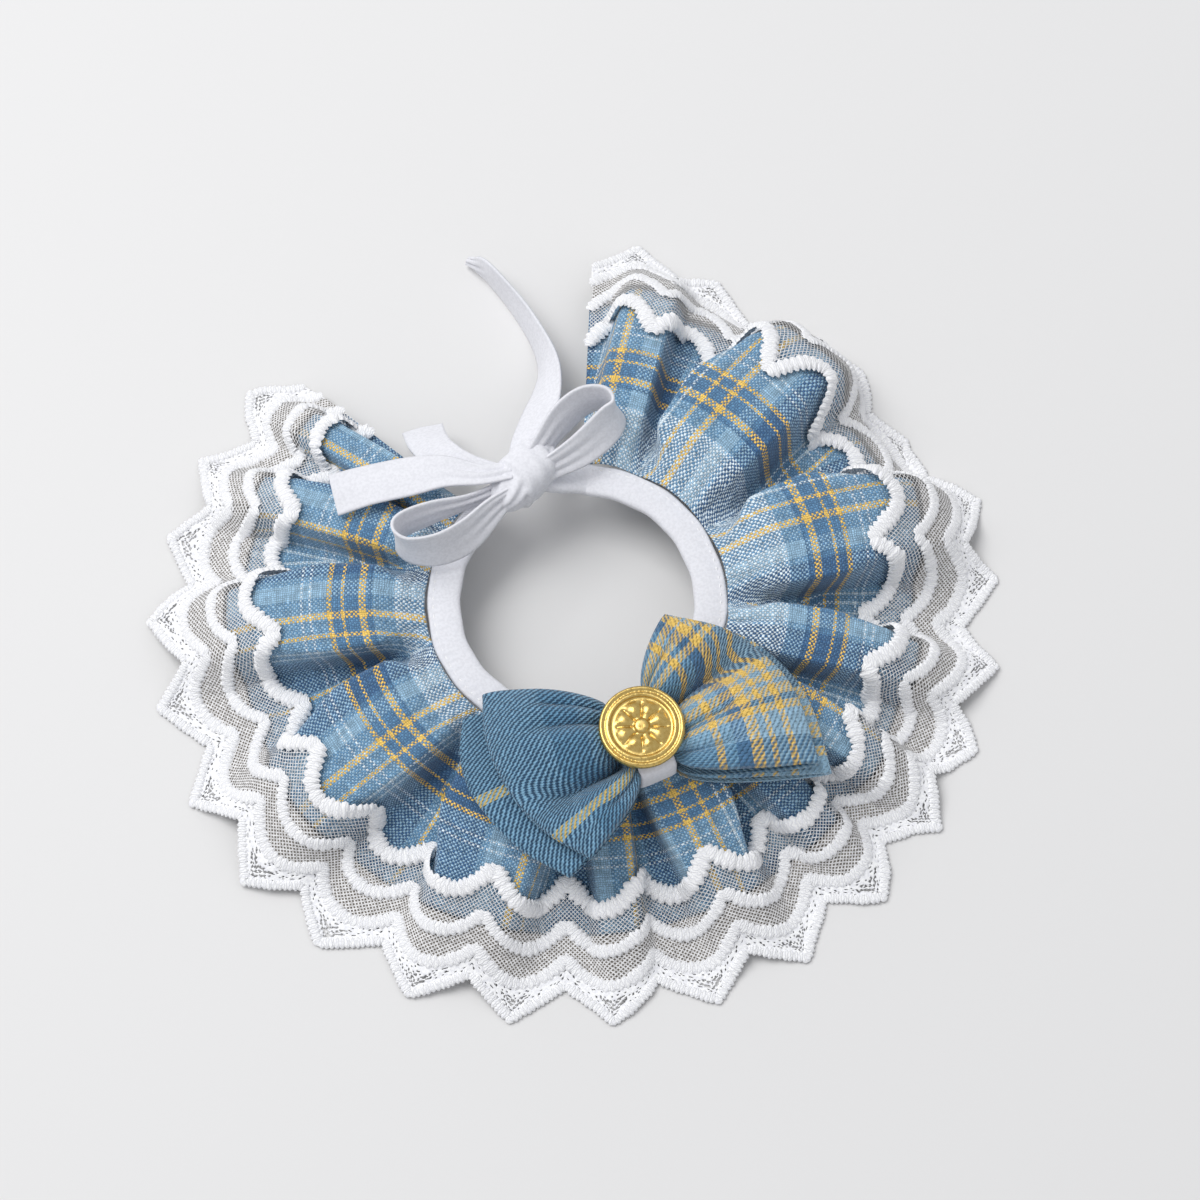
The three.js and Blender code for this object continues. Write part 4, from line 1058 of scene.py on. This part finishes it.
FURROWS = {
    # name: rows of (v, depth in mm, width in v, reach where it has run out)
    "bow_back_left": [(-0.5, 1.5, 0.2, 0.9), (0.3, 1.8, 0.2, 0.9)],
    "bow_back_right": [(-0.4, 1.5, 0.2, 0.9), (0.4, 1.8, 0.2, 0.9)],
    "bow_front_left": [(0.32, 12, 0.34, 1.0), (-0.42, 4.5, 0.2, 0.8), (-0.75, 3.0, 0.12, 0.7),
                       (0.8, 3.0, 0.12, 0.6)],
    "bow_front_right": [(-0.2, 12, 0.38, 1.0), (-0.78, 3.0, 0.12, 0.7), (0.4, 4.5, 0.16, 0.7),
                        (0.75, 3.0, 0.1, 0.6)],
}
# Millimetres from a loop's middle to the start of its stripes, so that no two loops match. On the front
# right loop it also sets the dark blue warp stripe in the deep furrow, where it adds painted shade.
STRIPE_FROM_MIDDLE = {"bow_back_left": 1, "bow_front_left": 20,
                      "bow_back_right": 10, "bow_front_right": 2}
STRIP_HALF = 30                  # half width of the strip that a loop is folded from
PUFF = {"back": 1.0, "front": 8.0}   # how far the upper layer swells
FLARE = 0.62                     # below 1 the strip spreads soon after the waist
OPENED_AT = 0.6                  # reach where a loop is fully open
FOLD_SHARPNESS = 4               # how late both layers meet at the fold
FURROW_FADE = 2.2                # how soon a furrow runs out before its end
LIP_SHARE = 0.25                 # how far one side of a furrow hangs over it, as a share of its depth
LOOP_WALL = 1.0
LEAST_OPENING = 0.6              # how far a valley stays above the lower layer
LOOP_ROWS, LOOP_COLUMNS = 127, 91

# %% [markdown]
# A furrow is a valley in the swelling of the upper layer. Cloth that is pinched folds over its
# valleys, so the side of each furrow is pushed over it a little, and the valley never sinks to the
# lower layer.

# %% Bow loops
def bow_loop(node, material):
    waist, layers, fold = BOW_LOOPS[node]
    side = np.sign(fold[0][0])
    s = np.linspace(0, 1, LOOP_ROWS)[:, None]
    v = np.linspace(-1, 1, LOOP_COLUMNS)[None, :]
    edge = smooth_path(fold, v.size)[None]
    waist_x = BOW_CENTRE[0] + side * (BOW_BAND_WIDTH / 2 + SEAM_GAP)
    reach = np.sin(np.pi * s)
    upper = s < 0.5
    x = waist_x + (edge[..., 0] - waist_x) * reach
    y = BOW_CENTRE[1] - BOW_WAIST_HALF * v
    y = y + (edge[..., 1] - y) * reach ** FLARE
    open_share = smooth(reach / OPENED_AT)
    opening = np.sqrt(np.maximum(0, 1 - reach ** FOLD_SHARPNESS))
    waist_half, fold_half = np.ptp(waist) / 2, np.ptp(layers) / 2
    half = (waist_half + (fold_half - waist_half) * open_share) * opening
    puff = PUFF[node.split("_")[1]] * np.sqrt(np.clip(1 - v ** 2, 0, 1)) * np.sin(np.pi * reach ** 0.8)
    for v0, depth, width, end in FURROWS[node]:
        near = np.exp(-(np.abs(v - v0) / (width * (0.6 + 0.7 * reach))) ** 1.6)
        fade = smooth(reach / 0.1) * smooth(FURROW_FADE * (1 - reach / end))
        puff = puff - depth * near * fade
        lip = np.exp(-(((v - v0) / width + 0.5) / 0.6) ** 2)
        y = y - np.where(upper, LIP_SHARE * depth * lip * fade * smooth(4 * reach), 0)
    middle = np.mean(waist) + (np.mean(layers) - np.mean(waist)) * open_share
    z = middle + np.where(upper, half + np.maximum(puff, LEAST_OPENING - 2 * half), -half)
    points = np.stack([x, y, z], -1)
    steps = [np.linalg.norm(np.diff(points, axis=axis), axis=-1) for axis in (0, 1)]
    along_mm = np.concatenate([np.zeros(v.shape), np.cumsum(steps[0], 0)])
    across_mm = STRIP_HALF + side * (STRIP_HALF * v - STRIPE_FROM_MIDDLE[node])
    corners = corner_uv(np.broadcast_to(across_mm, along_mm.shape), along_mm)
    name = node.replace("bow_", "loop_")
    made = piece(name, points, grid_faces(*along_mm.shape), material, node, corners)
    thicken(made, LOOP_WALL)
    area, width = 1e-6 * float((steps[0][:, 1:] * steps[1][1:]).sum()), 2 * STRIP_HALF / 1000


for node in BOW_LOOPS:
    bow_loop(node, bow_twill_gold if node.endswith("right") else bow_twill_blue)

# %% [markdown]
# A short piece of the neck tape goes round the waist and hides the gathers. It is a flat ring with
# rounded corners that bulges a little in its middle.

# %% Bow band
BAND_LOW, BAND_HIGH = BACK_WAIST[0] - SEAM_GAP, FRONT_WAIST[1] + SEAM_GAP
BOW_TAPE_WALL, BOW_TAPE_BULGE = 1.0, 0.35
CLEAR_OF_LOOPS = (1.0, 0.7)      # at the sides, and above and below
CORNER_SHARPNESS = 0.4


def bow_band():
    angle = around(72)
    place = np.linspace(-1, 1, 19)
    round_y, round_z = squared(angle, CORNER_SHARPNESS)
    middle = np.array([BOW_CENTRE[0], BOW_CENTRE[1], (BAND_LOW + BAND_HIGH) / 2])
    half_y = BOW_WAIST_HALF + CLEAR_OF_LOOPS[0]
    half_z = (BAND_HIGH - BAND_LOW) / 2 + CLEAR_OF_LOOPS[1]
    out = np.stack([0 * angle, half_y * round_y, half_z * round_z], -1)[:, None]
    ring = middle + out + unit(out) * (BOW_TAPE_BULGE * (1 - place ** 6))[:, None]
    ring[..., 0] += BOW_BAND_WIDTH / 2 * place
    faces = grid_faces(len(angle), len(place), round_rows=True)
    made = piece("bow_tape", ring, faces, tape_cotton, "bow_band")
    thicken(made, BOW_TAPE_WALL)


bow_band()

# %% [markdown]
# ## Button
#
# The button is a stamped brass shell with a gold-coloured plating, on a shank. It is turned from its
# profile, and eight petals are pressed into the middle. Brass keeps the metal's default IOR; its
# colour is the warm yellow of thin gold plate, and its tone and roughness vary at random.

# %% Button shape
BUTTON_PETALS, BUTTON_BEADS = 8, 60
PETALS_FROM, PETALS_TO, PETAL_HEIGHT = 2.2, 8.2, 1.0
BUTTON_ROWS, BUTTON_COLUMNS = 130, 160
BEADS_AT, BEAD_HEIGHT = 10.6, 0.18
FACE_HEIGHT = 1.8                # the profile above this is the stamped face
SHANK_HEIGHT = 2.2
BAND_SOLID_WALL = 1.2            # of the tape below the shank, in the frame
BUTTON_SEAT = BAND_HIGH + BAND_SOLID_WALL + SEAM_GAP + SHANK_HEIGHT
BUTTON_PROFILE = [
    # radius, height: middle, petals' ground, beaded rims, edge, back, shank
    (0, 3.4), (1.2, 3.4), (1.9, 3.2),
    (2.4, 2.6), (3.2, 2.5), (4.6, 2.9), (6.0, 2.9), (7.4, 2.4), (8.2, 2.1), (8.9, 2.15),
    (9.3, 2.7), (9.8, 2.9), (10.3, 2.7), (10.6, 2.4), (11.0, 2.5), (11.5, 2.85),
    (12.0, 2.8), (12.4, 2.3), (12.5, 1.4), (12.3, 0.7), (11.6, 0.3),
    (10, 0.2), (3.2, 0.2), (3, 0), (3, -SHANK_HEIGHT), (0, -SHANK_HEIGHT)]


def plated_brass():
    material, tree, shader = start_material("plated_brass", Metallic=1.0, Roughness=0.28)
    place = add(tree, "TexCoord")
    wear = add(tree, "TexNoise", {"Vector": place.outputs["Object"], "Scale": 900, "Detail": 4})
    tone = mixed(tree, wear, "#cda24a", "#ecd58f")
    rough = ranged(tree, wear, 0.3, 0.7, 0.2, 0.42)
    finish_material(tree, shader, tone, wear, depth_mm=0.06, roughness=rough)
    return material


def button():
    profile = smooth_path(BUTTON_PROFILE, BUTTON_ROWS)
    angle = around(BUTTON_COLUMNS)
    radius, height = np.maximum(profile[:, [0]], 0.02), profile[:, [1]]
    face = height > FACE_HEIGHT
    petal = np.abs(np.cos(BUTTON_PETALS * angle / 2))
    inside = face * smooth((radius - PETALS_FROM) / 1.2) * smooth((PETALS_TO - radius) / 1.4)
    relief = PETAL_HEIGHT * inside * (petal ** 0.6 - 0.75)
    bead = face * np.exp(-((radius - BEADS_AT) / 0.35) ** 2) * np.abs(np.sin(BUTTON_BEADS / 2 * angle))
    height = BUTTON_SEAT + height + relief + BEAD_HEIGHT * bead
    turned = [BOW_CENTRE[0] + radius * np.cos(angle), BOW_CENTRE[1] + radius * np.sin(angle), height]
    faces = grid_faces(*height.shape, round_columns=True)
    piece("stamped_button", np.stack(turned, -1), faces, plated_brass(), "button")


button()
